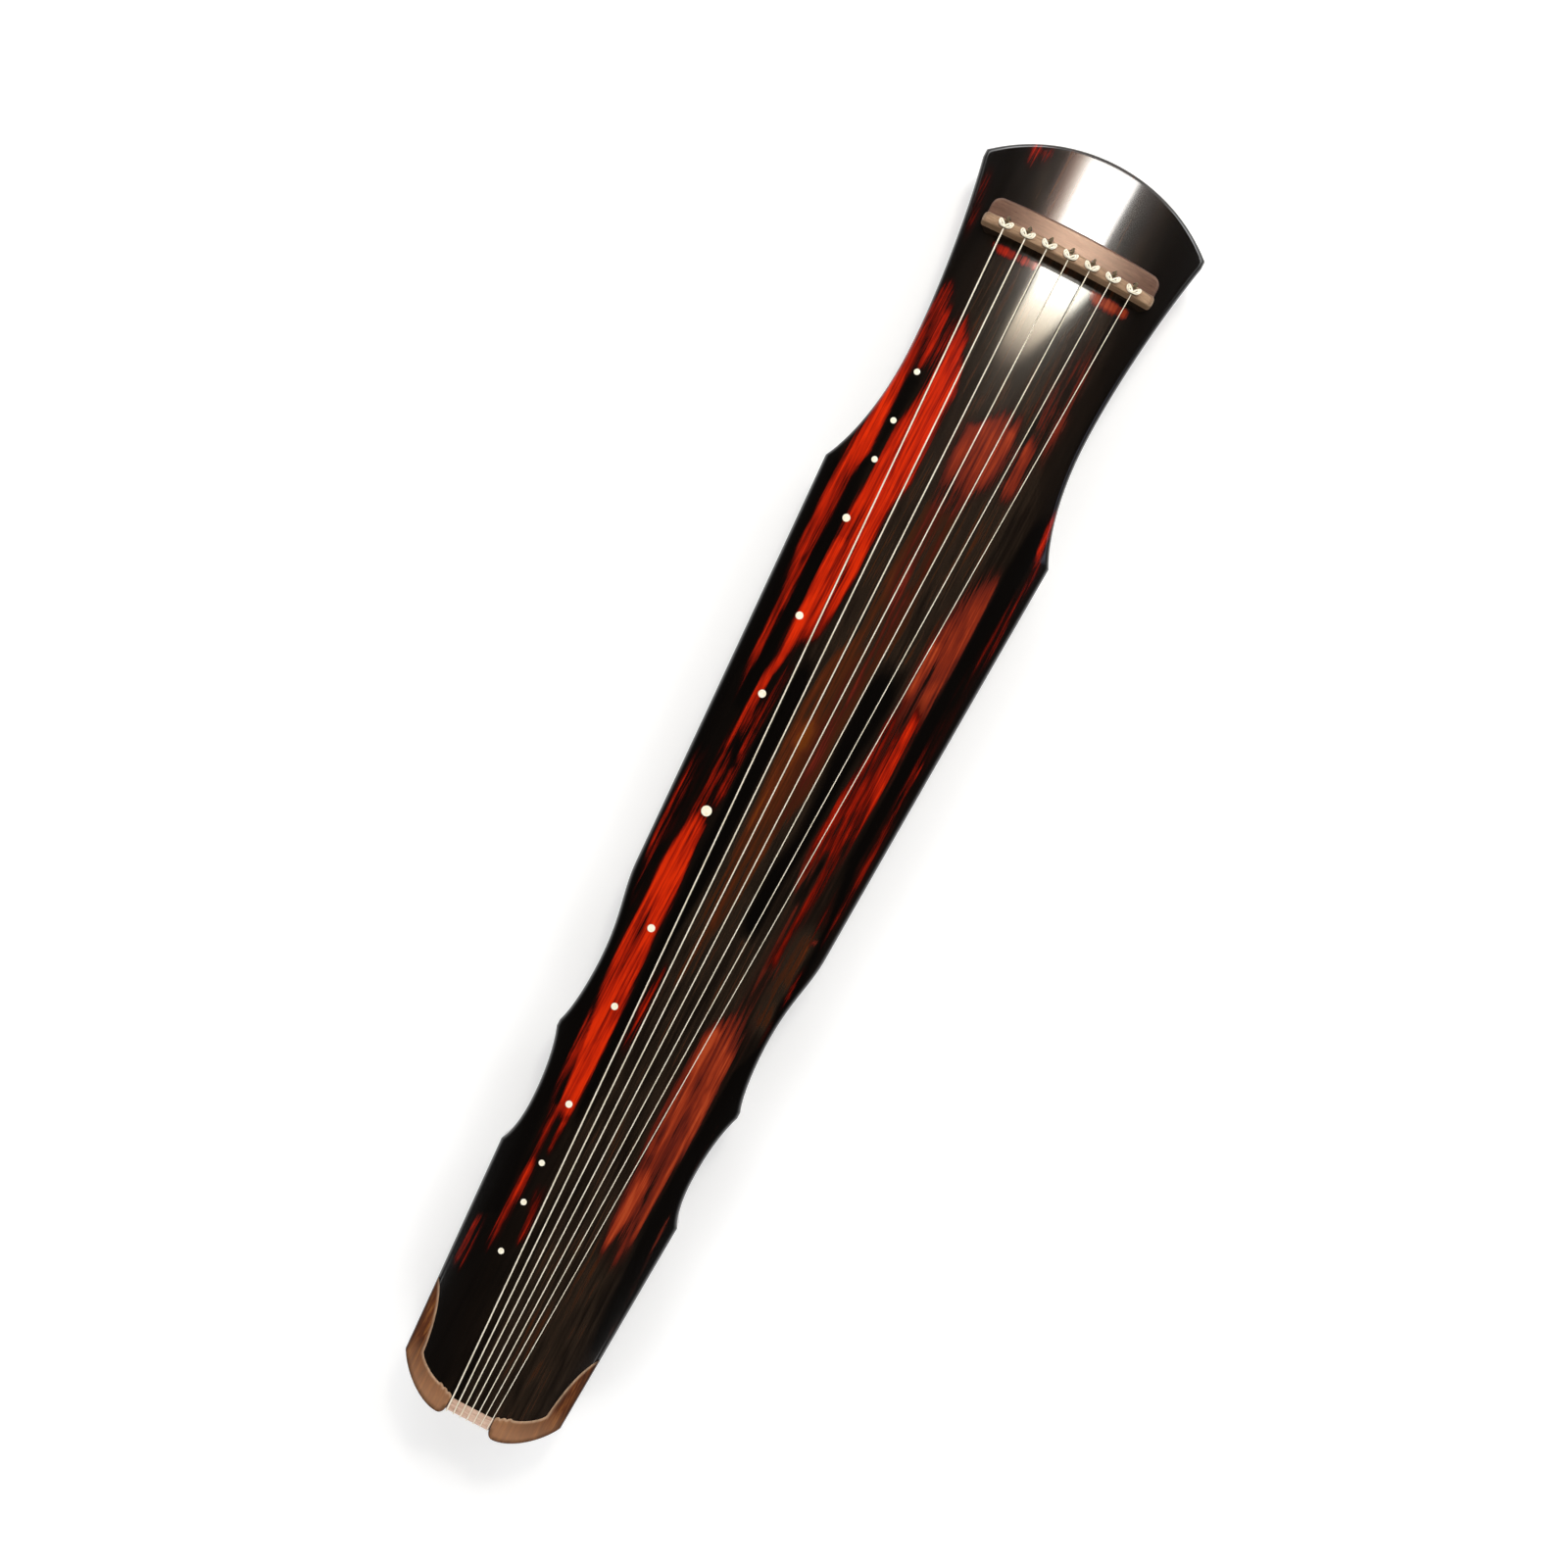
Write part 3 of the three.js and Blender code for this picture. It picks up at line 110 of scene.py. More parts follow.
# Bridge, head strip, nuts and inlays
BRIDGE_X = 513
BRIDGE_SPAN = 164
BRIDGE_THICK = 9.6
BRIDGE_HEIGHT = 18
BRIDGE_ARCH = 9
BRIDGE_FRONT_ROUND = 1.3
BRIDGE_BACK_ROUND = 3.2
BRIDGE_SLOPE = 0.2
BRIDGE_SINK = 0.4
STRIP_X = 532.7
STRIP_SPAN = 161.6
STRIP_DEPTH = 19.6
STRIP_BOW = 2
STRIP_CORNER = 9
CHANNEL_X = 526.6
CHANNEL_RADIUS = 2.1
STRIP_RISE = 2
NUT_CONTACT_X = -604
NUT_FACE_X = -608
NUT_DEPTH = 12
NUT_HEIGHT = 15
NUT_RISE = 1.2
NUT_ROUND = 4
CROWN_LENGTH = 104
CROWN_FLARE = 4.5
CROWN_TURN = 40
CROWN_TURN_HALF = 60
CROWN_BACK = 24
CROWN_INNER_BACK = 18.5
CROWN_RISE = 1.2
CROWN_LOBES = 3
CROWN_LOBE_WIDTH = 5
CROWN_LOBE_DEPTH = 1.4
SUPPORT_LENGTH = 44
TAIL_LOW = STAND - 1.5  # underside of the lower nut and the tail supports
INLAY_INSET = 0.8

# Strings, cords, pegs and feet
STRING_COUNT = 7
BRIDGE_SPREAD = 122.8
TAIL_SPREAD = 38.4
THICKEST_STRING = 1.35
THINNEST_STRING = 0.75
CORD_DIAMETER = 2.6
WINDING_GAP = 0.45
KNOT_STRAND = 1.6
KNOT_STEPS = 24
KNOT_EARS = (6.1, 4.4)
TIE_TURNS = 1.25
FOOT_X = -192.94
FOOT_SPACING = 92
FOOT_NECK = 18
FAR_FOOT_STRINGS = 4  # wound on the foot on the studs' side
FOOT_TURNS = 1.5
TURN_STEPS = 48
GUARD_X = CHANNEL_X
GUARD_SPACING = 174
GUARD_THICK = 13
STUD_SHARES = (1 / 8, 1 / 6, 1 / 5, 1 / 4, 1 / 3, 2 / 5, 1 / 2, 3 / 5, 2 / 3, 3 / 4, 4 / 5, 5 / 6, 7 / 8)
STUD_SIZES = (5.5, 5.5, 5.5, 6.9, 6.9, 7.1, 9.4, 6.8, 6.2, 6.2, 5.5, 5.5, 5.5)
STUD_FIRST_OFFSET = 71
STUD_LAST_OFFSET = 40.7
STUD_BOW = 2.15

# Rows of points across the boards, closer below the bridge, and how wide their middle part may be as a
# share of the half width
ROW_STEP = 7
BELOW_BRIDGE = (104, 121)
MIDDLE_SHARE = 0.345

# Air between pieces that only lie against each other, and below the feet, and the floor's half side
CLEARANCE = 0.3
FLOOR_GAP = 0.5
FLOOR_REACH = 40000
BODY = "instrument"


# Places along the body: a station counts from the head tip, and a share along the sounding strings
def at(station):
    return LENGTH / 2 - station


def at_share(share):
    return at(HEAD_LENGTH + share * STRING_LENGTH)


SHOULDER_X = at_share(SHOULDER_SHARE)
NOTCH_X = at(LENGTH - NOTCH_DEPTH)


def swell(x, values):
    tip, shoulder, tail = values
    ahead = np.maximum(x - SHOULDER_X, 0) / (at(0) - SHOULDER_X)
    behind = np.maximum(SHOULDER_X - x, 0) / (SHOULDER_X - at(LENGTH))
    return shoulder - (shoulder - tip) * ahead ** 2 - (shoulder - tail) * behind ** DOME_TAPER


def dome(x, y):
    behind = np.maximum(SHOULDER_X - x, 0) / (SHOULDER_X - at(LENGTH))
    half = (SHOULDER_WIDTH + (TAIL_WIDTH - SHOULDER_WIDTH) * behind) / 2
    across = np.abs(y) / half
    fall = across ** 2 * (1 - DOME_FLAT_SHARE) + across ** 4 * DOME_FLAT_SHARE
    return STAND + swell(x, THICKS) - swell(x, DROPS) * fall


def bridge_top(y):
    return dome(BRIDGE_X, 0) + BRIDGE_HEIGHT - BRIDGE_ARCH * (2 * y / BRIDGE_SPAN) ** 2


def string_share(number):
    return number / (STRING_COUNT - 1)


def string_diameter(number):
    return THICKEST_STRING + (THINNEST_STRING - THICKEST_STRING) * string_share(number)


def bridge_y(number):
    return BRIDGE_SPREAD * (0.5 - string_share(number))


def tail_y(number):
    return TAIL_SPREAD * (0.5 - string_share(number))


# Camera: straight above, turned so that the head points to the upper right
CAMERA_HEIGHT = 1.85
CAMERA_X = 0.0058
CAMERA_Y = 0.0094
HEAD_TURN = -62.6
FRAME_WIDTH = 1.3548
SENSOR = 36
MIDDLE_HEIGHT = 0.062
camera_data = bpy.data.cameras.new("camera")
camera_data.sensor_width = SENSOR
camera_data.lens = SENSOR * (CAMERA_HEIGHT - MIDDLE_HEIGHT) / FRAME_WIDTH
camera = bpy.data.objects.new("camera", camera_data)
camera.location = (CAMERA_X, CAMERA_Y, CAMERA_HEIGHT)
camera.rotation_euler = (0, 0, math.radians(HEAD_TURN))
bpy.context.scene.collection.objects.link(camera)
bpy.context.scene.camera = camera
bpy.context.scene.view_settings.view_transform = "Standard"


# An sRGB hex value as linear red, green, blue and alpha
def colour(hex_value):
    parts = [int(hex_value[place:place + 2], 16) / 255 for place in (1, 3, 5)]
    return [part / 12.92 if part <= 0.04045 else ((part + 0.055) / 1.055) ** 2.4 for part in parts] + [1]


def grey(level):
    return [level, level, level, 1]


# Links a node's inputs, named or in their order, to sockets or nodes, or sets them to plain values.
# A node stands for its first output.
def connect(tree, node, inputs):
    for key, value in inputs.items() if isinstance(inputs, dict) else enumerate(inputs):
        if isinstance(value, bpy.types.Node):
            value = value.outputs[0]
        if isinstance(value, bpy.types.NodeSocket):
            tree.links.new(value, node.inputs[key])
        else:
            node.inputs[key].default_value = value


# Adds a node with its inputs, its colour stops if it has some, and its settings
def add(tree, kind, inputs=(), stops=(), **settings):
    made = tree.nodes.new(kind)
    for name, value in settings.items():
        setattr(made, name, value)
    for place, (position, tone) in enumerate(stops):
        elements = made.color_ramp.elements
        element = elements[place] if place < len(elements) else elements.new(1)
        element.position = position
        element.color = colour(tone) if isinstance(tone, str) else tone
    connect(tree, made, inputs)
    return made


# A cloudy pattern on Object coordinates, with cells of the given sizes in millimetres
def mottled(tree, sizes, detail=3.0, roughness=0.5, distortion=0.0):
    place = add(tree, "ShaderNodeTexCoord").outputs["Object"]
    scale = [1 / (size * MM) for size in sizes]
    cells = add(tree, "ShaderNodeMapping", {"Vector": place, "Scale": scale})
    return add(tree, "ShaderNodeTexNoise", {
        "Vector": cells, "Scale": 1.0, "Detail": detail, "Roughness": roughness, "Distortion": distortion})


def new_material(name, **values):
    material = bpy.data.materials.new(name)
    material.use_nodes = True
    shader = material.node_tree.nodes["Principled BSDF"]
    for key, value in values.items():
        shader.inputs[key.replace("_", " ")].default_value = value
    return material


# Gives a material its colour, and where they vary its roughness and its relief of a depth in millimetres
def finish(material, tint, roughness=None, relief=None, depth=0.0):
    tree = material.node_tree
    inputs = {"Base Color": tint}
    if roughness:
        inputs["Roughness"] = roughness
    if relief:
        rise = {"Height": relief, "Distance": depth * MM, "Strength": 1.0}
        inputs["Normal"] = add(tree, "ShaderNodeBump", rise)
    connect(tree, tree.nodes["Principled BSDF"], inputs)
    return material


# One coat of the rubbed lacquer: its colours run from unworn to bare, and it covers the coat below
# where it is worn enough
def rubbed_coat(tree, below, label, uneven, spread, tones):
    bare = add(tree, "ShaderNodeAttribute", attribute_name=label).outputs["Fac"]
    near = add(tree, "ShaderNodeMath", [bare, 2.5], operation="MULTIPLY", use_clamp=True)
    reach = add(tree, "ShaderNodeMath", [near, spread], operation="MULTIPLY")
    kept = add(tree, "ShaderNodeMath", [uneven, reach, bare], operation="MULTIPLY_ADD")
    tone = add(tree, "ShaderNodeValToRGB", [kept], tones)
    if not below:
        return tone
    cover = add(tree, "ShaderNodeMapRange", [kept, 0.04, 0.3])
    coats = {"Factor": cover, "A": below, "B": tone}
    return add(tree, "ShaderNodeMix", coats, data_type="RGBA").outputs["Result"]


# Urushi lacquer, black over cinnabar, rubbed through and polished: a deep wet gloss. Where the
# black is worn thin it lets brown and brick-red through, and where it is gone the vermilion,
# always in fibres that run along the board. The corner below the bridge can't be polished and
# stays dull black.
def rubbed_lacquer():
    material = new_material("rubbed_lacquer", IOR=1.5, Specular_IOR_Level=0.12, Coat_Weight=1.0,
                            Coat_Roughness=0.07, Coat_IOR=1.5)
    tree = material.node_tree
    # Clouds, strokes and hairs of wear: sizes, detail, roughness, distortion and strength. The first
    # number leaves their sum a little below zero.
    uneven = -2.78
    wear = [((60, 11, 60), 3.0, 0.55, 0.4, 1.8), ((110, 2.6, 40), 4.0, 0.62, 0.0, 2.6),
            ((40, 0.9, 20), 2.0, 0.6, 0.0, 0.8)]
    for sizes, detail, roughness, distortion, strength in wear:
        fibres = mottled(tree, sizes, detail, roughness, distortion)
        uneven = add(tree, "ShaderNodeMath", [fibres, strength, uneven], operation="MULTIPLY_ADD")
    # The umber marks include one painted highlight on the near side
    umber = rubbed_coat(tree, None, "umber", uneven, 0.34, [
        (0.0, "#070504"), (0.3, "#19120d"), (0.5, "#2a2018"),
        (0.66, "#40200f"), (0.85, "#5c2812"), (1.0, "#723810")])
    brick = rubbed_coat(tree, umber, "brick", uneven, 0.6, [
        (0.0, "#1e120e"), (0.2, "#35150e"), (0.42, "#5c1e14"),
        (0.65, "#802a16"), (0.85, "#9c381c"), (1.0, "#b04624")])
    vermilion = rubbed_coat(tree, brick, "rubbed", uneven, 0.7, [
        (0.0, "#140604"), (0.2, "#2c0805"), (0.4, "#5c0f06"),
        (0.6, "#941a08"), (0.8, "#bc2408"), (1.0, "#d62e08")])
    polish = add(tree, "ShaderNodeMapRange", [mottled(tree, (90, 14, 30), 4.0, 0.6), 0.3, 0.7, 0.17, 0.24])
    dull = add(tree, "ShaderNodeAttribute", attribute_name="corner").outputs["Fac"]
    coat = add(tree, "ShaderNodeMath", [1.0, dull], operation="SUBTRACT")
    connect(tree, tree.nodes["Principled BSDF"], {"Coat Weight": coat})
    return finish(material, vermilion, polish, mottled(tree, (55, 24, 24), 2.0), 0.07)


# The same lacquer unrubbed on the underside and the sides: black-brown with a faint red depth
# and the slight waviness of a brushed coat.
def under_lacquer():
    material = new_material("under_lacquer", IOR=1.52)
    tree = material.node_tree
    depth = mottled(tree, (80, 12, 20), 5.0, 0.6)
    tint = add(tree, "ShaderNodeValToRGB", [depth], [(0.35, "#140d0a"), (0.6, "#24130e"), (0.8, "#3a160e")])
    gloss = add(tree, "ShaderNodeMapRange", [mottled(tree, (30, 30, 30)), 0, 1, 0.16, 0.3])
    return finish(material, tint, gloss, mottled(tree, (26, 9, 9)), 0.08)


# Planed hardwood with its grain along one axis: darker growth lines, short pores and a hand-rubbed
# oil sheen tinted by the wood. A pore's length and the spacing of the growth lines are in millimetres.
def planed_wood(name, tones, along, pore_length, line_spacing, roughness, relief=0.03, sheen=0.5):
    material = new_material(name, IOR=1.5, Specular_IOR_Level=sheen, Specular_Tint=colour("#ffdcc4"))
    tree = material.node_tree

    def grained(length, across, *settings):
        sizes = [across] * 3
        sizes["XYZ".index(along)] = length
        return mottled(tree, sizes, *settings)

    bands = grained(pore_length * 8, line_spacing * 3, 3.0, 0.5, 1.2)
    lines = grained(pore_length * 6, line_spacing, 5.0, 0.65, 0.3)
    pores = grained(pore_length, line_spacing / 4, 2.0, 0.7)
    wide = add(tree, "ShaderNodeMath", [bands, 0.45], operation="MULTIPLY")
    drawn = add(tree, "ShaderNodeMath", [lines, 0.55, wide], operation="MULTIPLY_ADD")
    grain = add(tree, "ShaderNodeValToRGB", [drawn], zip((0.34, 0.5, 0.66), tones))
    pits = add(tree, "ShaderNodeValToRGB", [pores], [(0.3, grey(0.55)), (0.42, grey(1.0))])
    layers = {"Factor": 1.0, "A": grain, "B": pits}
    shade = add(tree, "ShaderNodeMix", layers, data_type="RGBA", blend_type="MULTIPLY").outputs["Result"]
    gloss = add(tree, "ShaderNodeMapRange", [lines, 0, 1, roughness - 0.06, roughness + 0.1])
    return finish(material, shade, gloss, pores, relief)


# The crown corners' hardwood: the same planed grain, redder at the sides and paler towards the nut,
# with a painted highlight along the scalloped inner edge and painted shade along the outer one.
def crown_hardwood():
    material = planed_wood("crown_hardwood", ("#241006", "#5a2c10", "#8c5626"), "X", 5, 2.2, 0.36, 0.03, 0.2)
    tree = material.node_tree
    tint = tree.nodes["Principled BSDF"].inputs["Base Color"].links[0].from_socket
    place = add(tree, "ShaderNodeTexCoord").outputs["Object"]
    along = add(tree, "ShaderNodeSeparateXYZ", [place]).outputs["X"]
    paler = add(tree, "ShaderNodeMapRange", [along, at(LENGTH - 50) * MM, at(LENGTH - 12) * MM, 0, 0.55])
    covers = [(paler, "#b48664")]
    patches = mottled(tree, (9, 2.5, 9), 3.0, 0.6)
    # A painted highlight by the inner edge and painted shade by the outer edge, both in patches
    for label, tone, strength in (("painted_edge_highlight", "#d8b898", 1.3), ("shaded", "#2a140a", 1.9)):
        mark = add(tree, "ShaderNodeAttribute", attribute_name=label).outputs["Fac"]
        cloudy = add(tree, "ShaderNodeMath", [mark, patches], operation="MULTIPLY")
        strong = add(tree, "ShaderNodeMath", [cloudy, strength], operation="MULTIPLY")
        covers.append((add(tree, "ShaderNodeMath", [strong, 0.8], operation="MINIMUM"), tone))
    for cover, tone in covers:
        inputs = {"Factor": cover, "A": tint, "B": colour(tone)}
        tint = add(tree, "ShaderNodeMix", inputs, data_type="RGBA").outputs["Result"]
    return finish(material, tint)


# Steel-cored string wrapped in flat nylon: smooth, pale cream-silver, with a soft sheen.
def wrapped_string():
    material = new_material("nylon_wrapped_string", Roughness=0.36, IOR=1.53)
    tree = material.node_tree
    clouds = mottled(tree, (18, 2, 2))
    tint = add(tree, "ShaderNodeValToRGB", [clouds], [(0.35, "#e6dcc4"), (0.65, "#fbf2e0")])
    return finish(material, tint, None, mottled(tree, (0.6, 4, 4), 1.0), 0.005)


# The same string in its knot, coloured paler than the string as a painted highlight.
def knotted_string():
    material = new_material("nylon_knot", Roughness=0.42, IOR=1.53)
    tree = material.node_tree
    tint = add(tree, "ShaderNodeValToRGB", [mottled(tree, (2, 2, 2))], [(0.35, "#f4ead0"), (0.65, "#fffaea")])
    return finish(material, tint)


# Twisted silk: matt olive-brown yarn with a soft edge sheen, and painted shade in the hollows between fibres.
def twisted_silk():
    material = new_material("twisted_silk", Roughness=0.8, Sheen_Weight=0.4, Sheen_Roughness=0.4)
    tree = material.node_tree
    fibres = mottled(tree, (0.5, 0.5, 1.2), 4.0, 0.7)
    # The fibre pattern that gives the relief also darkens the colour in its hollows: painted shade
    tint = add(tree, "ShaderNodeValToRGB", [fibres], [(0.3, "#3c3220"), (0.55, "#6b5a3c"), (0.75, "#8a7852")])
    return finish(material, tint, None, fibres, 0.12)


# Cut and polished shell: warm ivory with faint milky clouds and a clear gloss.
def polished_shell():
    material = new_material("polished_shell", Roughness=0.2, IOR=1.56)
    tree = material.node_tree
    clouds = mottled(tree, (4, 4, 4), 4.0, 0.6, 1.0)
    tint = add(tree, "ShaderNodeValToRGB", [clouds], [(0.3, "#f8ecc8"), (0.55, "#fffae6"), (0.8, "#fdf4e0")])
    return finish(material, tint, None, clouds, 0.03)


LACQUER = rubbed_lacquer()
UNDER_LACQUER = under_lacquer()
DARK_ROSEWOOD = ("#38221a", "#523429", "#684839")
PALE_ROSEWOOD = ("#604a36", "#8c7056", "#a88c70")
ROSEWOOD = planed_wood("oiled_rosewood", DARK_ROSEWOOD, "Y", 3.5, 1.6, 0.3, 0.012)
STRIP_WOOD = planed_wood("strip_rosewood", DARK_ROSEWOOD, "Y", 3.5, 1.6, 0.28, 0.012, 0.85)
BRIDGE_WOOD = planed_wood("bridge_rosewood", PALE_ROSEWOOD, "Y", 3.5, 1.6, 0.34, 0.02, 0.7)
TURNED_ROSEWOOD = planed_wood("turned_rosewood", ("#4a2a20", "#70483a", "#8c6250"), "Z", 3.5, 1.6, 0.32)
CROWN_WOOD = crown_hardwood()
SUPPORT_WOOD = planed_wood("support_hardwood", ("#381a0a", "#6c3a18", "#986434"), "X", 5, 2.2, 0.36)
NUT_WOOD = planed_wood("nut_hardwood", ("#b4907c", "#d0b09c", "#e4ccba"), "Y", 3, 1.4, 0.4)
PAULOWNIA = planed_wood("bare_paulownia", ("#8a6a44", "#b08c5e", "#c8a878"), "X", 9, 3.5, 0.75, 0.08)
STRING = wrapped_string()
KNOT = knotted_string()
SILK = twisted_silk()
SHELL = polished_shell()


# A mesh object from points in millimetres, at the origin
def mesh_object(name, points, faces, materials=(), edges=()):
    mesh = bpy.data.meshes.new(name)
    points = (np.asarray(points, float) * MM).tolist()
    mesh.from_pydata(points, list(edges), [list(map(int, face)) for face in faces])
    mesh.update()
    for material in materials:
        mesh.materials.append(material)
    piece = bpy.data.objects.new(name, mesh)
    bpy.context.scene.collection.objects.link(piece)
    return piece


# The vertices of a piece in millimetres
def vertex_places(piece):
    places = np.empty(len(piece.data.vertices) * 3)
    piece.data.vertices.foreach_get("co", places)
    return places.reshape(-1, 3) / MM


# Gives each vertex a value under a label, for a tree or a material to read
def mark_vertices(piece, label, values):
    piece.data.attributes.new(label, "FLOAT", "POINT").data.foreach_set("value", values)


# The faces of a closed tube through equal rings of points, with both ends
def tube_faces(rings, sides):
    faces = []
    for start in range(0, (rings - 1) * sides, sides):
        for side in range(sides):
            here, beside = start + side, start + (side + 1) % sides
            faces.append([here, beside, beside + sides, here + sides])
    ends = [list(range(sides))[::-1], list(range((rings - 1) * sides, rings * sides))]
    return faces + ends


# Turns what the modifiers make into a plain mesh, shaded smooth up to an angle
def settle(piece, smooth_angle=35):
    depsgraph = bpy.context.evaluated_depsgraph_get()
    mesh = bpy.data.meshes.new_from_object(piece.evaluated_get(depsgraph))
    piece.modifiers.clear()
    piece.data = mesh
    mesh.polygons.foreach_set("use_smooth", [True] * len(mesh.polygons))
    mesh.set_sharp_from_angle(angle=math.radians(smooth_angle))
    return piece


def keep(piece, body, slot, *nodes):
    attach(piece, body)
    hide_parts(*nodes)


# Rounds a piece's edges where they are sharper than an angle
def ease_edges(piece, width, sharp_angle):
    bevel = piece.modifiers.new("ease", "BEVEL")
    bevel.width = width * MM
    bevel.segments = 3
    bevel.limit_method = "ANGLE"
    bevel.angle_limit = math.radians(sharp_angle)


# Cuts other closed pieces out of one
def carve(piece, cutters):
    for cutter in cutters:
        cut = piece.modifiers.new("cut", "BOOLEAN")
        cut.operation = "DIFFERENCE"
        cut.solver = "MANIFOLD"
        cut.object = cutter
    settle(piece)
    for cutter in cutters:
        bpy.data.objects.remove(cutter)


# A curve's points as part of a plan, with its handles as shares of the step
def sweep(start, end, handles, steps=26):
    start, end = np.array(start, float), np.array(end, float)
    step = end - start
    leave = start + step * handles[:2]
    reach = start + step * handles[2:]
    t = np.linspace(0, 1, steps + 1)[1:, None]
    return start * (1 - t) ** 3 + 3 * leave * t * (1 - t) ** 2 + 3 * reach * t ** 2 * (1 - t) + end * t ** 3


# The +Y side of the plan, from the head tip to the tail tip, and on to the string notch
def side_line():
    radius = (HEAD_WIDTH ** 2 / 4 + HEAD_ARC_DEPTH ** 2) / (2 * HEAD_ARC_DEPTH)
    turn = math.asin(HEAD_WIDTH / 2 / radius)
    angles = np.linspace(0, turn, 60)
    parts = [np.column_stack([at(radius) + radius * np.cos(angles), radius * np.sin(angles)])]
    corner = (at(HEAD_ARC_DEPTH + HEAD_CORNER_LENGTH), HEAD_WIDTH / 2)
    parts.append(np.linspace(parts[-1][-1], corner, 5)[1:])
    for share, width, handles in SIDE_CURVES:
        parts.append(sweep(parts[-1][-1], (at_share(share), width / 2), handles))
    cusp = at_share(CUSP_SHARE)
    parts.append(sweep(parts[-1][-1], (cusp + CUSP_LENGTH / 2, CUSP_WIDTH / 2), CUSP_HANDLES))
    parts.append(np.linspace(parts[-1][-1], (cusp - CUSP_LENGTH / 2, CUSP_WIDTH / 2), 5)[1:])
    for share, width, handles in WAIST_CURVES:
        parts.append(sweep(parts[-1][-1], (at_share(share), width / 2), handles))
    parts.append(np.linspace(parts[-1][-1], (at(LENGTH - TAIL_TURN), TAIL_WIDTH / 2), 30)[1:])
    parts.append(sweep(parts[-1][-1], (at(LENGTH), TAIL_TIP_WIDTH / 2), TAIL_TURN_HANDLES, 40))
    prong = sweep(parts[-1][-1], (NOTCH_X, STRING_GAP / 2), TAIL_TIP_HANDLES, 14)
    return np.vstack(parts), np.vstack([parts[-1][-1:], prong])


OUTER, PRONG = side_line()


def half_width(x):
    return np.interp(x, OUTER[::-1, 0], OUTER[::-1, 1])


# Joins points that coincide and drops the faces that collapse
def merged(points, faces):
    keys = np.round(np.asarray(points, float), 4) + 0.0
    unique, index = np.unique(keys, axis=0, return_inverse=True)
    index = index.reshape(-1)
    kept = []
    for face in faces:
        ring = [index[corner] for corner in face]
        ring = [corner for place, corner in enumerate(ring) if corner != ring[place - 1]]
        if len(ring) > 2:
            kept.append(ring)
    return unique, kept


# A patch of a plan between two lines of points, with places across as shares of each row
def patch(first, second, shares):
    rows = zip(first, second, shares)
    points = [start + (end - start) * share for start, end, row in rows for share in row]
    columns = len(shares[0])
    faces = []
    for row in range(len(first) - 1):
        for column in range(columns - 1):
            here = row * columns + column
            faces.append((here, here + 1, here + columns + 1, here + columns))
    return points, faces


# Shares across a row that are close together near its far end, or near both ends
def rim_shares(length, reach, count, both=False):
    steps = np.array([0, 0.04, 0.12, 0.24, 0.4, 0.6, 0.8, 1.0])
    edge = min(reach, length / 3) * steps / max(length, 1e-6)
    middle_start = edge[-1] if both else 0
    middle = np.linspace(middle_start, 1 - edge[-1], count)
    near = edge[:-1] if both else np.array([])
    return np.concatenate([near, middle, 1 - edge[-2::-1]])


def boundary_edges(faces):
    seen = {}
    for face in faces:
        for a, b in zip(face, face[1:] + face[:1]):
            if (b, a) in seen:
                del seen[(b, a)]
            else:
                seen[(a, b)] = True
    return np.array(list(seen))


# How far each plan point lies from the edge of the plan
def rim_distance(points, edges):
    starts, ends = points[edges[:, 0], :2], points[edges[:, 1], :2]
    along = ends - starts
    lengths = np.maximum((along ** 2).sum(1), 1e-12)
    nearest = []
    for chunk in np.array_split(points[:, :2], max(1, len(points) // 1500)):
        offset = chunk[:, None] - starts
        t = np.clip((offset * along).sum(2) / lengths, 0, 1)
        nearest.append(np.sqrt(((offset - t[..., None] * along) ** 2).sum(2)).min(1))
    return np.concatenate(nearest)


def flat_level(x, y, rim):
    return np.zeros_like(x)


# A closed plate over a plan, which keeps how far its points lie from the edge
def plate(name, points, faces, high=flat_level, low=flat_level, materials=()):
    flat, faces = merged(np.column_stack([points, np.zeros(len(points))]), faces)
    edges = boundary_edges(faces)
    rim = rim_distance(flat, edges)
    upper, lower = flat.copy(), flat.copy()
    upper[:, 2] = high(flat[:, 0], flat[:, 1], rim)
    lower[:, 2] = low(flat[:, 0], flat[:, 1], rim)
    count = len(flat)
    solid = [list(face) for face in faces] + [[corner + count for corner in face[::-1]] for face in faces]
    solid += [[b, a, a + count, b + count] for a, b in edges]
    piece = mesh_object(name, np.vstack([upper, lower]), solid, materials)
    mark_vertices(piece, "rim", np.concatenate([rim, rim]) * MM)
    mark_vertices(piece, "upper", np.repeat([1.0, 0.0], count))
    face_outwards(piece)
    return piece


def face_outwards(piece):
    shape = bmesh.new()
    shape.from_mesh(piece.data)
    bmesh.ops.recalc_face_normals(shape, faces=shape.faces)
    shape.to_mesh(piece.data)
    shape.free()


def rounding(rim, radius):
    inside = np.maximum(radius - rim, 0)
    return radius - np.sqrt(np.maximum(radius ** 2 - inside ** 2, 0))


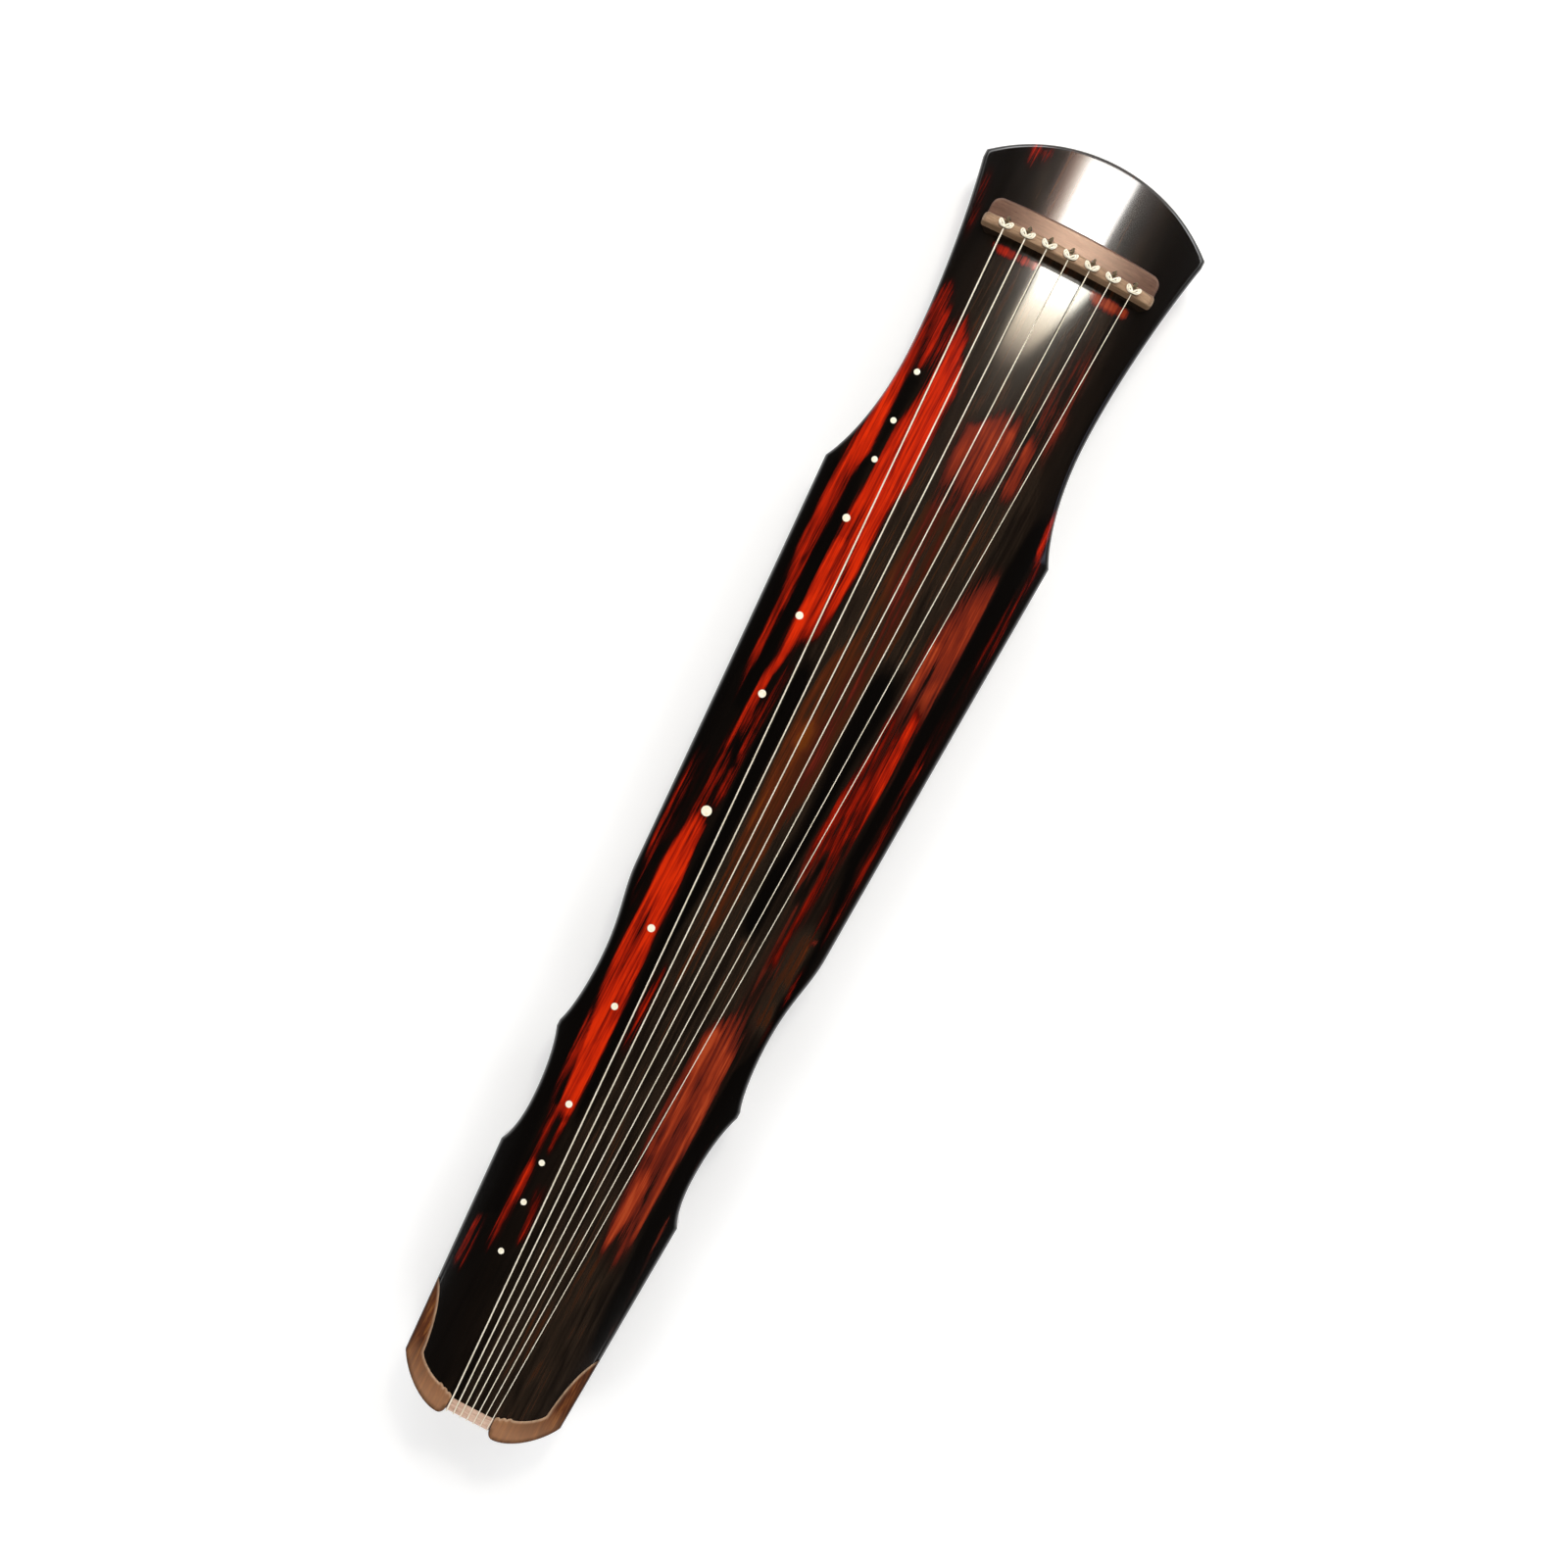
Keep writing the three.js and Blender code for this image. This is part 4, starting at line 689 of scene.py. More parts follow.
# The whole board in plan: rows across, from the head tip to the tips beside the string notch
def board_plan(columns, side_columns):
    line = np.append(OUTER[:, 0], NOTCH_X)
    stations = [np.arange(4, LENGTH - TAIL_TURN, ROW_STEP), np.arange(*BELOW_BRIDGE, 1.0)]
    even = at(np.concatenate(stations))
    even = even[np.abs(even[:, None] - line).min(1) > 0.4]
    rows = np.unique(np.append(line, even))[::-1]
    body = rows[rows >= NOTCH_X]
    points, faces = [], []

    def join(more_points, more_faces):
        base = len(points)
        points.extend(more_points)
        faces.extend([corner + base for corner in face] for face in more_faces)

    quarter = np.minimum(STRING_GAP / 2, half_width(body) * MIDDLE_SHARE)
    middle = [np.linspace(0, 1, columns)] * len(body)
    join(*patch(np.column_stack([body, -quarter]), np.column_stack([body, quarter]), middle))
    for side in (1, -1):
        outer = half_width(rows)
        inner = np.where(rows >= NOTCH_X, np.minimum(STRING_GAP / 2, outer * MIDDLE_SHARE),
                         np.interp(rows, PRONG[:, 0], PRONG[:, 1]))
        shares = [rim_shares(width, RIM_ROUND * 1.3, side_columns) for width in outer - inner]
        ends = [np.column_stack([rows, side * inner]), np.column_stack([rows, side * outer])]
        more_points, more_faces = patch(*ends, shares)
        join(more_points, more_faces if side > 0 else [face[::-1] for face in more_faces])
    return np.array(points), faces


# A plan rectangle with rounded corners as one closed ring of points
def rounded_ring(centre_x, centre_y, length, width, corner, steps=8):
    ring = []
    for quadrant, (sign_x, sign_y) in enumerate([(1, 1), (-1, 1), (-1, -1), (1, -1)]):
        for angle in np.linspace(quadrant * math.pi / 2, (quadrant + 1) * math.pi / 2, steps):
            ring.append((centre_x + sign_x * (length / 2 - corner) + corner * math.cos(angle),
                         centre_y + sign_y * (width / 2 - corner) + corner * math.sin(angle)))
    return ring


# An upright prism over a ring of plan points
def prism(name, ring, low, high):
    points = [(x, y, z) for z in (low, high) for x, y in ring]
    return mesh_object(name, points, tube_faces(2, len(ring)))


# Geometry Nodes helpers: a tree with named inputs, and setting them on a modifier
def new_tree(name, inputs):
    tree = bpy.data.node_groups.new(name, "GeometryNodeTree")
    tree.interface.new_socket("Geometry", in_out="INPUT", socket_type="NodeSocketGeometry")
    for label, kind, default in inputs:
        socket = tree.interface.new_socket(label, in_out="INPUT", socket_type=kind)
        if default is not None:
            socket.default_value = default
    tree.interface.new_socket("Geometry", in_out="OUTPUT", socket_type="NodeSocketGeometry")
    return tree, add(tree, "NodeGroupInput").outputs


def finish_tree(tree, geometry, material):
    whole = add(tree, "GeometryNodeRealizeInstances", {"Geometry": geometry})
    dressed = add(tree, "GeometryNodeSetMaterial", {"Geometry": whole, "Material": material})
    add(tree, "NodeGroupOutput", {"Geometry": dressed})


def grow(piece, tree, smooth_angle=35, **values):
    modifier = piece.modifiers.new("grow", "NODES")
    modifier.node_group = tree
    for item in tree.interface.items_tree:
        key = item.name.lower().replace(" ", "_")
        if item.in_out == "INPUT" and key in values:
            modifier[item.identifier] = values[key]
    return settle(piece, smooth_angle)


# The dome: raises the upper points of a flat plate to the arched, tapering face of the board,
# rounds them over near the edge, and lays the lower points flat or a set depth below the dome.
def dome_tree():
    metre_inputs = [
        ("Head Tip X", at(0)), ("Shoulder X", SHOULDER_X), ("Tail Tip X", at(LENGTH)),
        ("Shoulder Width", SHOULDER_WIDTH), ("Tail Width", TAIL_WIDTH), ("Stand", STAND),
        ("Tip Thick", THICKS[0]), ("Shoulder Thick", THICKS[1]), ("Tail Thick", THICKS[2]),
        ("Tip Drop", DROPS[0]), ("Shoulder Drop", DROPS[1]), ("Tail Drop", DROPS[2]),
        ("Lift", 0), ("Edge Round", RIM_ROUND), ("Depth", 6), ("Flat Underside", BOARD_SEAM),
    ]
    inputs = [(label, "NodeSocketFloat", value * MM) for label, value in metre_inputs]
    inputs += [("Flat Share", "NodeSocketFloat", DOME_FLAT_SHARE), ("Taper", "NodeSocketFloat", DOME_TAPER),
               ("Use Flat", "NodeSocketFloat", 0.0), ("Material", "NodeSocketMaterial", None)]
    tree, given = new_tree("domed_board", inputs)

    position = add(tree, "GeometryNodeInputPosition")
    place = add(tree, "ShaderNodeSeparateXYZ", [position]).outputs
    known = {"X": place["X"], "Y": place["Y"]}
    known |= {label: given[label] for label, kind, default in inputs}
    for label in ("rim", "carved", "upper"):
        mark = add(tree, "GeometryNodeInputNamedAttribute", {"Name": label}, data_type="FLOAT")
        known[label] = mark.outputs["Attribute"]

    # Each step has a name, what it does, and what it takes: a number, an input or an earlier step
    steps = [
        ("forward", "SUBTRACT", "X", "Shoulder X"), ("forward only", "MAXIMUM", "forward", 0),
        ("head reach", "SUBTRACT", "Head Tip X", "Shoulder X"),
        ("ahead", "DIVIDE", "forward only", "head reach"),
        ("backward", "SUBTRACT", "Shoulder X", "X"), ("backward only", "MAXIMUM", "backward", 0),
        ("tail reach", "SUBTRACT", "Shoulder X", "Tail Tip X"),
        ("behind", "DIVIDE", "backward only", "tail reach"),
        ("tip share", "POWER", "ahead", 2), ("tail share", "POWER", "behind", "Taper"),
    ]
    for kind in ("Thick", "Drop"):
        steps += [
            ("tip loss", "SUBTRACT", "Tip " + kind, "Shoulder " + kind),
            ("tail loss", "SUBTRACT", "Tail " + kind, "Shoulder " + kind),
            ("before tail", "MULTIPLY_ADD", "tip loss", "tip share", "Shoulder " + kind),
            (kind, "MULTIPLY_ADD", "tail loss", "tail share", "before tail"),
        ]
    steps += [
        ("width loss", "SUBTRACT", "Tail Width", "Shoulder Width"),
        ("width", "MULTIPLY_ADD", "width loss", "behind", "Shoulder Width"),
        ("half", "MULTIPLY", "width", 0.5),
        ("off middle", "ABSOLUTE", "Y"), ("across", "DIVIDE", "off middle", "half"),
        ("square", "POWER", "across", 2), ("fourth power", "POWER", "square", 2),
        ("round share", "SUBTRACT", 1, "Flat Share"), ("flat fall", "MULTIPLY", "fourth power", "Flat Share"),
        ("fall", "MULTIPLY_ADD", "square", "round share", "flat fall"),
        ("crown", "ADD", "Stand", "Thick"), ("fallen", "MULTIPLY", "Drop", "fall"),
        ("height", "SUBTRACT", "crown", "fallen"),
        ("within edge", "SUBTRACT", "Edge Round", "rim"), ("inside", "MAXIMUM", "within edge", 0),
        ("inside square", "POWER", "inside", 2), ("round square", "POWER", "Edge Round", 2),
        ("rise square", "SUBTRACT", "round square", "inside square"),
        ("rise kept", "MAXIMUM", "rise square", 0),
        ("rise", "SQRT", "rise kept"), ("rolled", "SUBTRACT", "Edge Round", "rise"),
        ("taken off", "ADD", "rolled", "carved"), ("lifted", "ADD", "height", "Lift"),
        ("top", "SUBTRACT", "lifted", "taken off"), ("below", "SUBTRACT", "height", "Depth"),
        ("to flat", "SUBTRACT", "Flat Underside", "below"),
        ("under", "MULTIPLY_ADD", "to flat", "Use Flat", "below"),
        ("thickness", "SUBTRACT", "top", "under"), ("Z", "MULTIPLY_ADD", "thickness", "upper", "under"),
    ]
    for name, operation, *terms in steps:
        terms = [known.get(term, term) for term in terms]
        known[name] = add(tree, "ShaderNodeMath", terms, operation=operation)
    target = add(tree, "ShaderNodeCombineXYZ", [known["X"], known["Y"], known["Z"]])
    moved = add(tree, "GeometryNodeSetPosition", {"Geometry": given["Geometry"], "Position": target})
    finish_tree(tree, moved, given["Material"])
    return tree


DOME = dome_tree()


# Where the black is worn: ribbons that run along the board. One umber ribbon on the near side is a painted
# highlight instead, and the last vermilion and brick ribbons draw a thin red line across the board on the
# tail side of the bridge. Each has the width over which its edges fade, then its stations, its edges on the
# studs' side and on the near side there, and how bare it is.
VERMILION = [
    (7, [(150, 84, 80, 0), (165, 86, 74, 0.5), (185, 87, 74, 0.7), (240, 87, 75, 0.78), (275, 90, 76, 0.85),
         (320, 94, 75, 0.85), (345, 95, 79, 0.8), (385, 96, 79, 0.8), (415, 94, 78, 0.7),
         (430, 92, 78, 0.62), (452, 91, 77, 0.74), (490, 89, 77, 0.7), (515, 87, 78, 0.5),
         (540, 85, 79, 0.3), (575, 83, 80, 0)]),
    (9, [(168, 78, 60, 0), (188, 78, 48, 0.55), (210, 78, 44, 0.6), (235, 76, 60, 0.55), (255, 66, 60, 0.3),
         (270, 64, 60, 0)]),
    (7, [(172, 62, 52, 0), (188, 62, 49, 0.68), (210, 62, 43, 0.82), (225, 62, 36, 0.82),
         (245, 61, 32, 0.9), (285, 65, 33, 0.88), (300, 66, 33, 0.84), (330, 67, 33, 0.76),
         (360, 68, 37, 0.86), (420, 68, 37, 0.82), (445, 68, 38, 0.8), (470, 67, 40, 0.65),
         (485, 66, 42, 0.55), (500, 66, 48, 0)]),
    (5, [(380, 66, 56, 0), (400, 68, 54, 1.05), (480, 67, 55, 1.08), (515, 67, 57, 1.0),
         (528, 68, 60, 0.85), (545, 70, 61, 0.66), (565, 72, 60, 0.55), (590, 72, 55, 0.44),
         (620, 71, 53, 0.5), (645, 70, 56, 0.48), (662, 70, 58, 0.5), (672, 68, 54, 0.8),
         (690, 70, 53, 0.84), (712, 72, 50, 0.84), (745, 72, 45.5, 0.84), (780, 72, 47, 0.84),
         (800, 71, 46, 0.86), (830, 69, 44, 0.88), (860, 65, 42, 0.92), (885, 60, 41, 0.98),
         (930, 57, 41, 1.0), (945, 55, 41, 0.8), (958, 48, 42, 0)]),
    (6, [(505, 60, 48, 0), (525, 58, 49, 0.35), (580, 62, 50, 0.45), (640, 60, 50, 0.4), (660, 58, 50, 0)]),
    (5, [(840, 70, 62, 0), (870, 68, 59, 0.6), (925, 66, 58, 0.4), (950, 62, 58, 0.2), (965, 60, 58, 0)]),
    (5, [(935, 59, 51, 0), (945, 59, 51, 0.7), (975, 58, 51, 0.5), (992, 57, 51, 0.35),
         (1003, 58, 49, 0.58), (1028, 57, 48, 0.6), (1040, 57, 49, 0.5), (1068, 56, 49.5, 0.52),
         (1080, 56, 50, 0.35), (1090, 55, 51, 0)]),
    (3, [(945, 46, 41, 0), (955, 46, 41, 0.65), (980, 45, 41, 0.5), (990, 44, 41, 0)]),
    (5, [(1003, 40, 28, 0), (1020, 40, 29, 0.25), (1045, 34, 28, 0.5), (1062, 33, 28, 0.45),
         (1072, 32, 28, 0)]),
    (6, [(1050, 72, 67, 0), (1068, 74, 66, 0.5), (1085, 75, 64, 0.62), (1102, 75, 65, 0.58),
         (1116, 71, 65, 0)]),
    (7, [(785, 38, 24, 0), (805, 37, 24, 0.4), (835, 34, 23, 0.62), (868, 32, 23, 0.4), (895, 30, 23, 0)]),
    (5, [(610, 90, 84, 0), (640, 90, 83, 0.3), (690, 87, 83, 0.42), (725, 87, 82, 0.35), (760, 84, 80, 0)]),
    (10, [(350, -78, -97, 0), (400, -78, -97, 0.27), (600, -74, -92, 0.27), (700, -70, -88, 0.2),
         (730, -70, -86, 0)]),
    (9, [(480, -44, -70, 0), (520, -43, -71, 0.48), (560, -41, -71, 0.55), (600, -37, -68, 0.56),
         (640, -34, -65, 0.56), (684, -36, -62, 0)]),
    (6, [(490, -60, -71, 0), (515, -60, -72, 0.68), (560, -60, -71, 0.68), (600, -59, -68, 0.62),
         (620, -59, -67, 0.66), (640, -57, -64, 0.56), (680, -54, -62, 0.5), (712, -52, -60, 0.44),
         (735, -50, -57, 0.55), (750, -50, -56, 0.5), (762, -50, -56, 0)]),
    (9, [(600, 94, 78, 0), (650, 93, 78, 0.42), (750, 89, 76, 0.36), (790, 86, 76, 0)]),
    (4, [(450, 77, 74, 0), (470, 78, 73, 0.4), (500, 77, 73, 0.4), (530, 75, 71, 0.2), (545, 74, 72, 0)]),
    (9, [(4, 72, 52, 0), (20, 72, 54, 0.55), (34, 70, 58, 0.35), (44, 66, 60, 0)]),
    (8, [(45, 100, 92, 0), (70, 99, 89, 0.4), (100, 95, 86, 0.35), (125, 92, 84, 0)]),
    (5, [(280, -86, -92, 0), (300, -87, -95, 0.5), (325, -90, -97, 0.5), (345, -96, -101, 0.35),
         (400, -96, -100, 0.42), (440, -94, -98, 0.3), (470, -91, -94, 0)]),
    (3, [(525, -86, -90, 0), (545, -86, -90, 0.6), (580, -85.5, -89, 0.55), (650, -84, -88, 0.5),
         (700, -82.5, -86, 0.4), (730, -80, -84, 0.3), (748, -77, -81, 0.7), (775, -76.5, -80.5, 0.65),
         (800, -75, -79, 0.45), (835, -74, -77, 0)]),
    # A thin red line across the board on the tail side of the bridge, on the studs' side
    (6, [(107, 64, 18, 0), (110.5, 64, 18, 0.72), (115.5, 62, 20, 0.7), (120, 60, 24, 0)]),
]
BRICK = [
    (16, [(226, -10, -28, 0), (244, -6, -30, 0.55), (262, 12, -31, 0.8), (284, 13, -32, 0.85),
         (302, 12, -30, 0.7), (320, 11, -20, 0.38), (345, 10, -16, 0.3), (400, 6, -15, 0.4),
         (440, 2, -14, 0.4), (480, 2, -13, 0.3), (520, 6, -12, 0.38), (570, 6, -12, 0.42),
         (630, 4, -11, 0.3), (670, 2, -10, 0)]),
    (9, [(234, -19, -28, 0), (252, -18, -30, 0.85), (290, -18, -30, 0.8), (308, -18, -30, 0)]),
    (12, [(236, -38, -50, 0), (258, -36, -52, 0.66), (294, -38, -53, 0.66), (314, -42, -54, 0)]),
    (14, [(140, -42, -60, 0), (170, -36, -62, 0.3), (225, -34, -66, 0.34), (250, -50, -66, 0.3),
         (280, -60, -68, 0)]),
    (13, [(350, -60, -74, 0), (382, -56, -77, 0.6), (400, -52, -78, 0.68), (440, -48, -77, 0.66),
         (470, -47, -75, 0.68), (520, -45, -73, 0.6), (560, -43, -72, 0.58), (600, -38, -69, 0.58),
         (640, -34, -66, 0.56), (665, -36, -64, 0.5), (690, -46, -62, 0.44), (745, -46, -62, 0.4),
         (800, -44, -64, 0.36), (815, -34, -63, 0.5), (835, -27, -62, 0.66), (880, -25, -62, 0.66),
         (935, -28, -61, 0.66), (970, -31, -60, 0.6), (1010, -32, -59, 0.45), (1035, -34, -58, 0.28),
         (1060, -38, -58, 0)]),
    (5, [(425, -48, -55, 0), (445, -48, -56, 0.95), (490, -47, -55, 0.85), (520, -46, -54, 0)]),
    (8, [(445, -61, -72, 0), (470, -61, -72, 0.85), (545, -60, -71, 0.8), (600, -59, -68, 0.6),
         (660, -57, -64, 0)]),
    (8, [(585, -37, -47, 0), (620, -36, -50, 0.7), (640, -34, -48, 0.8), (668, -36, -46, 0.76),
         (695, -38, -45, 0)]),
    (6, [(810, -34, -42, 0), (826, -33, -43, 1.0), (842, -32, -42, 0.9), (870, -30, -42, 0.75),
         (930, -34, -44, 0.72), (955, -34, -45, 0.75), (972, -34, -47, 1.0), (1005, -33, -45, 1.0),
         (1028, -33, -41, 0.8), (1046, -33, -37, 0)]),
    (5, [(815, -53, -62, 0), (840, -52, -62, 0.88), (900, -51, -61, 0.92), (940, -50, -60, 0.85),
         (980, -52, -59, 0.85), (1015, -53, -58, 0.7), (1032, -54, -58, 0)]),
    (4, [(880, -73, -77, 0), (895, -72, -77, 0.4), (940, -71, -76, 0.35), (960, -71, -75, 0)]),
    (4, [(975, -71, -75, 0), (992, -71, -76, 0.75), (1010, -71, -76, 0.7), (1040, -72, -77, 0.35),
         (1068, -74, -78, 0.5), (1100, -75, -79, 0.4), (1115, -75, -78, 0)]),
    (3, [(712, -75, -79, 0), (719, -75, -79, 0.8), (725, -75, -79, 0)]),
    # A thin red line across the board on the tail side of the bridge, on the near side
    (7, [(107, -28, -66, 0), (110.5, -28, -68, 0.92), (116, -32, -68, 0.88), (122, -36, -64, 0)]),
]
UMBER = [
    (60, [(-10, 60, -60, 0.5), (330, 80, -80, 0.52), (420, 50, -70, 0.52), (700, 40, -75, 0.5),
         (960, 40, -60, 0.48), (1080, 30, -70, 0.5), (1230, 20, -70, 0.48)]),
    # A painted highlight: a soft brown sheen by the near side edge, from station 680 to 835
    (12, [(680, -54, -78, 0), (720, -54, -80, 0.66), (800, -54, -76, 0.66), (835, -56, -74, 0)]),
    (16, [(300, 20, -24, 0), (340, 18, -22, 0.74), (460, 16, -22, 0.74), (500, 28, -20, 0.76),
         (545, 30, -18, 0.86), (610, 28, -16, 0.84), (660, 26, -8, 0.74), (730, 24, -4, 0.7),
         (800, 20, 2, 0.62), (860, 18, 4, 0)]),
    (10, [(532, 26, 0, 0), (552, 26, 0, 1.02), (574, 24, 0, 1.0), (596, 22, 2, 0)]),
]
BLACK = [
    (6, [(238, 75, 67, 0), (250, 75, 66, 0.62), (278, 75, 67, 0.62), (292, 74, 68, 0.6), (318, 73, 69, 0.4),
         (335, 78, 71, 0.5), (370, 78, 71, 0.6), (400, 79, 70, 0.75), (460, 79, 69, 0.85),
         (520, 78, 70, 0.85), (545, 80, 73, 0.5), (570, 80, 75, 0)]),
    (9, [(330, 112, 99, 0), (350, 112, 98, 1.2), (420, 112, 97, 1.2), (500, 112, 92, 1.2),
         (600, 112, 94, 0.8), (700, 112, 92, 0.7), (780, 112, 80, 1.0), (840, 112, 74, 1.2),
         (1050, 112, 62, 1.2), (1060, 112, 78, 0.8), (1120, 112, 78, 0.6), (1180, 112, 78, 0)]),
    (14, [(470, -18, -38, 0), (505, -17, -40, 0.95), (560, -18, -36, 0.8), (640, -22, -34, 0.6),
         (680, -16, -28, 0.95), (725, -16, -28, 0.95), (745, -16, -28, 0)]),
    (7, [(500, 42, 34, 0), (530, 44, 32, 1.0), (600, 46, 32, 1.2), (700, 44, 30, 1.2), (780, 42, 34, 0.9),
         (860, 40, 36, 0.8), (920, 38, 34, 0.8), (960, 37, 33, 0)]),
    (5, [(585, 66, 62, 0), (598, 62, 58, 0.5), (612, 58, 54, 0.5), (622, 55, 52, 0)]),
    (4, [(450, -56, -60, 0), (470, -56, -60, 0.5), (500, -56, -60, 0.45), (530, -56, -59, 0)]),
    (4, [(640, -49, -54, 0), (655, -48, -54, 0.45), (690, -46, -50, 0.4), (700, -46, -50, 0)]),
    (8, [(300, -80, -90, 0), (340, -78, -90, 0.8), (470, -76, -84, 0.8), (640, -72, -78, 0.6),
         (700, -80, -84, 0.3), (820, -78, -82, 0.4), (850, -68, -76, 0.8), (1000, -62, -72, 0.8),
         (1100, -66, -74, 0.6), (1130, -66, -74, 0)]),
    (9, [(760, -66, -100, 0), (800, -79, -100, 0.8), (1000, -78, -100, 0.9), (1150, -80, -100, 0.9),
         (1200, -80, -100, 0)]),
]


def ribbon_cover(x, y, ribbons, halo=0.0):
    station = at(0) - x
    cover = np.zeros_like(x)
    for edge, ribbon in ribbons:
        places, upper, lower, strength = np.array(ribbon, float).T
        inside = np.minimum(np.interp(station, places, upper) - y, y - np.interp(station, places, lower))
        along = np.interp(station, places, strength, left=0, right=0)
        for width, share in ((edge, 1), (edge * 2.6, halo)):
            across = np.clip(inside / width + 0.5, 0, 1)
            cover = np.maximum(cover, across ** 2 * (3 - 2 * across) * along * share)
    return cover


def paint_lacquer(board):
    x, y, z = vertex_places(board).T
    black = ribbon_cover(x, y, BLACK)
    above = 1 - np.clip((dome(x, y) - z - 4) / 6, 0, 1)
    for label, ribbons in (("rubbed", VERMILION), ("brick", BRICK), ("umber", UMBER)):
        bare = np.clip(ribbon_cover(x, y, ribbons, 0.55) - black, 0, 1.1) * above
        mark_vertices(board, label, bare)
    ahead = np.abs(x - BRIDGE_X + 5) - 4.6 + 0.2 * np.maximum(np.abs(y) - 50, 0)
    mark_vertices(board, "corner", np.clip(0.5 - ahead, 0, 1) * above)


# The hollow that is cut out of the top board, with a lower ceiling over each sound hole
def hollow_cutter():
    rows = np.linspace(at(HEAD_BLOCK), at(LENGTH - TAIL_BLOCK), 200)
    reach = half_width(rows) - HOLLOW_RIM
    shares = [np.linspace(0, 1, 41)] * len(rows)
    points, faces = patch(np.column_stack([rows, -reach]), np.column_stack([rows, reach]), shares)
    cutter = plate("hollow", points, faces)
    x, y, _ = vertex_places(cutter).T
    carved = np.zeros_like(x)
    for share, length in SOUND_HOLES:
        inside_x = length / 2 + ABSORB_MARGIN - np.abs(x - at_share(share))
        inside_y = SOUND_WIDTH / 2 + ABSORB_MARGIN - np.abs(y)
        carved = np.maximum(carved, np.clip(np.minimum(inside_x, inside_y) / 4, 0, 1) * ABSORB_DROP)
    mark_vertices(cutter, "carved", carved * MM)
    low = BOARD_SEAM - 20
    return grow(cutter, DOME, lift=-WALL * MM, edge_round=0.0, use_flat=1.0, flat_underside=low * MM)


def pool_cutter(low, high):
    ring = rounded_ring(CHANNEL_X, 0, POOL_WIDTH, POOL_LENGTH, POOL_WIDTH / 4)
    return prism("pool", ring, low, high)


def top_board():
    board = plate("lacquered_top_board", *board_plan(27, 34))
    grow(board, DOME, use_flat=1.0, material=LACQUER)
    carve(board, [hollow_cutter(), pool_cutter(BOARD_SEAM - 5, POOL_CEILING)])
    board.data.materials.clear()
    board.data.materials.append(LACQUER)
    board.data.materials.append(PAULOWNIA)
    for face in board.data.polygons:
        x, y, z = face.center / MM
        along = at(LENGTH - TAIL_BLOCK) - 1 < x < at(HEAD_BLOCK) + 1
        hollow = along and half_width(x) - abs(y) > HOLLOW_RIM - 1
        pool = abs(x - CHANNEL_X) < POOL_WIDTH / 2 + 1 and abs(y) < POOL_LENGTH / 2 + 1
        inside = BOARD_SEAM + 0.01 < z < dome(x, y) - WALL + 1
        face.material_index = int((hollow or pool) and inside)
    paint_lacquer(board)
    keep(board, BODY, "top_lacquer", "top_board")


def bottom_board():
    points, faces = board_plan(9, 12)
    board = plate("lacquered_bottom_board", points, faces,
                  lambda x, y, rim: np.full_like(x, BOARD_SEAM),
                  lambda x, y, rim: STAND + rounding(rim, UNDER_ROUND), (UNDER_LACQUER,))
    low, high = STAND - 10, BOARD_SEAM + 10
    cutters = [pool_cutter(low, high)]
    for share, length in SOUND_HOLES:
        ring = rounded_ring(at_share(share), 0, length, SOUND_WIDTH, SOUND_WIDTH / 4)
        cutters.append(prism("sound_hole", ring, low, high))
    for side in (1, -1):
        ring = rounded_ring(FOOT_X, side * FOOT_SPACING / 2, SOCKET_SIDE, SOCKET_SIDE, 0.5, 2)
        cutters.append(prism("socket", ring, low, high))
    carve(board, cutters)
    keep(board, BODY, "under_lacquer", "bottom_board")


# The bridge: an arched hardwood ridge, worn round along its top, with its foot on the dome
def bridge():
    half = BRIDGE_SPAN / 2
    spread = half * np.sin(np.linspace(-math.pi / 2, math.pi / 2, 110))
    points = []
    for y in spread:
        gap = np.array(max(half - abs(y), 0))
        pinch, sink = float(rounding(gap, 3.0)), float(rounding(gap, 5.0))
        front, back = BRIDGE_X + pinch, BRIDGE_X + BRIDGE_THICK - pinch
        top = float(bridge_top(y)) - sink
        foot_front = float(dome(BRIDGE_X, y)) - BRIDGE_SINK
        foot_back = float(dome(BRIDGE_X + BRIDGE_THICK, y)) - BRIDGE_SINK
        ring = [(front, foot_front), (front, (foot_front + top) / 2)]
        round_start, round_end = front + BRIDGE_FRONT_ROUND, back - BRIDGE_BACK_ROUND
        ring += arc(round_start, top - BRIDGE_FRONT_ROUND, BRIDGE_FRONT_ROUND, math.pi, math.pi / 2, 10)
        for share in np.linspace(0, 1, 6)[1:-1]:
            ring.append((round_start + (round_end - round_start) * share, top - BRIDGE_SLOPE * share))
        ring += arc(round_end, top - BRIDGE_SLOPE - BRIDGE_BACK_ROUND, BRIDGE_BACK_ROUND, math.pi / 2, 0, 12)
        ring += [(back, (foot_back + top) / 2), (back, foot_back)]
        points += [(x, y, z) for x, z in ring]
    faces = tube_faces(len(spread), len(ring))
    piece = mesh_object("rosewood_bridge", *merged(points, faces), (BRIDGE_WOOD,))
    face_outwards(piece)
    keep(settle(piece, 45), BODY, "rosewood", "bridge")


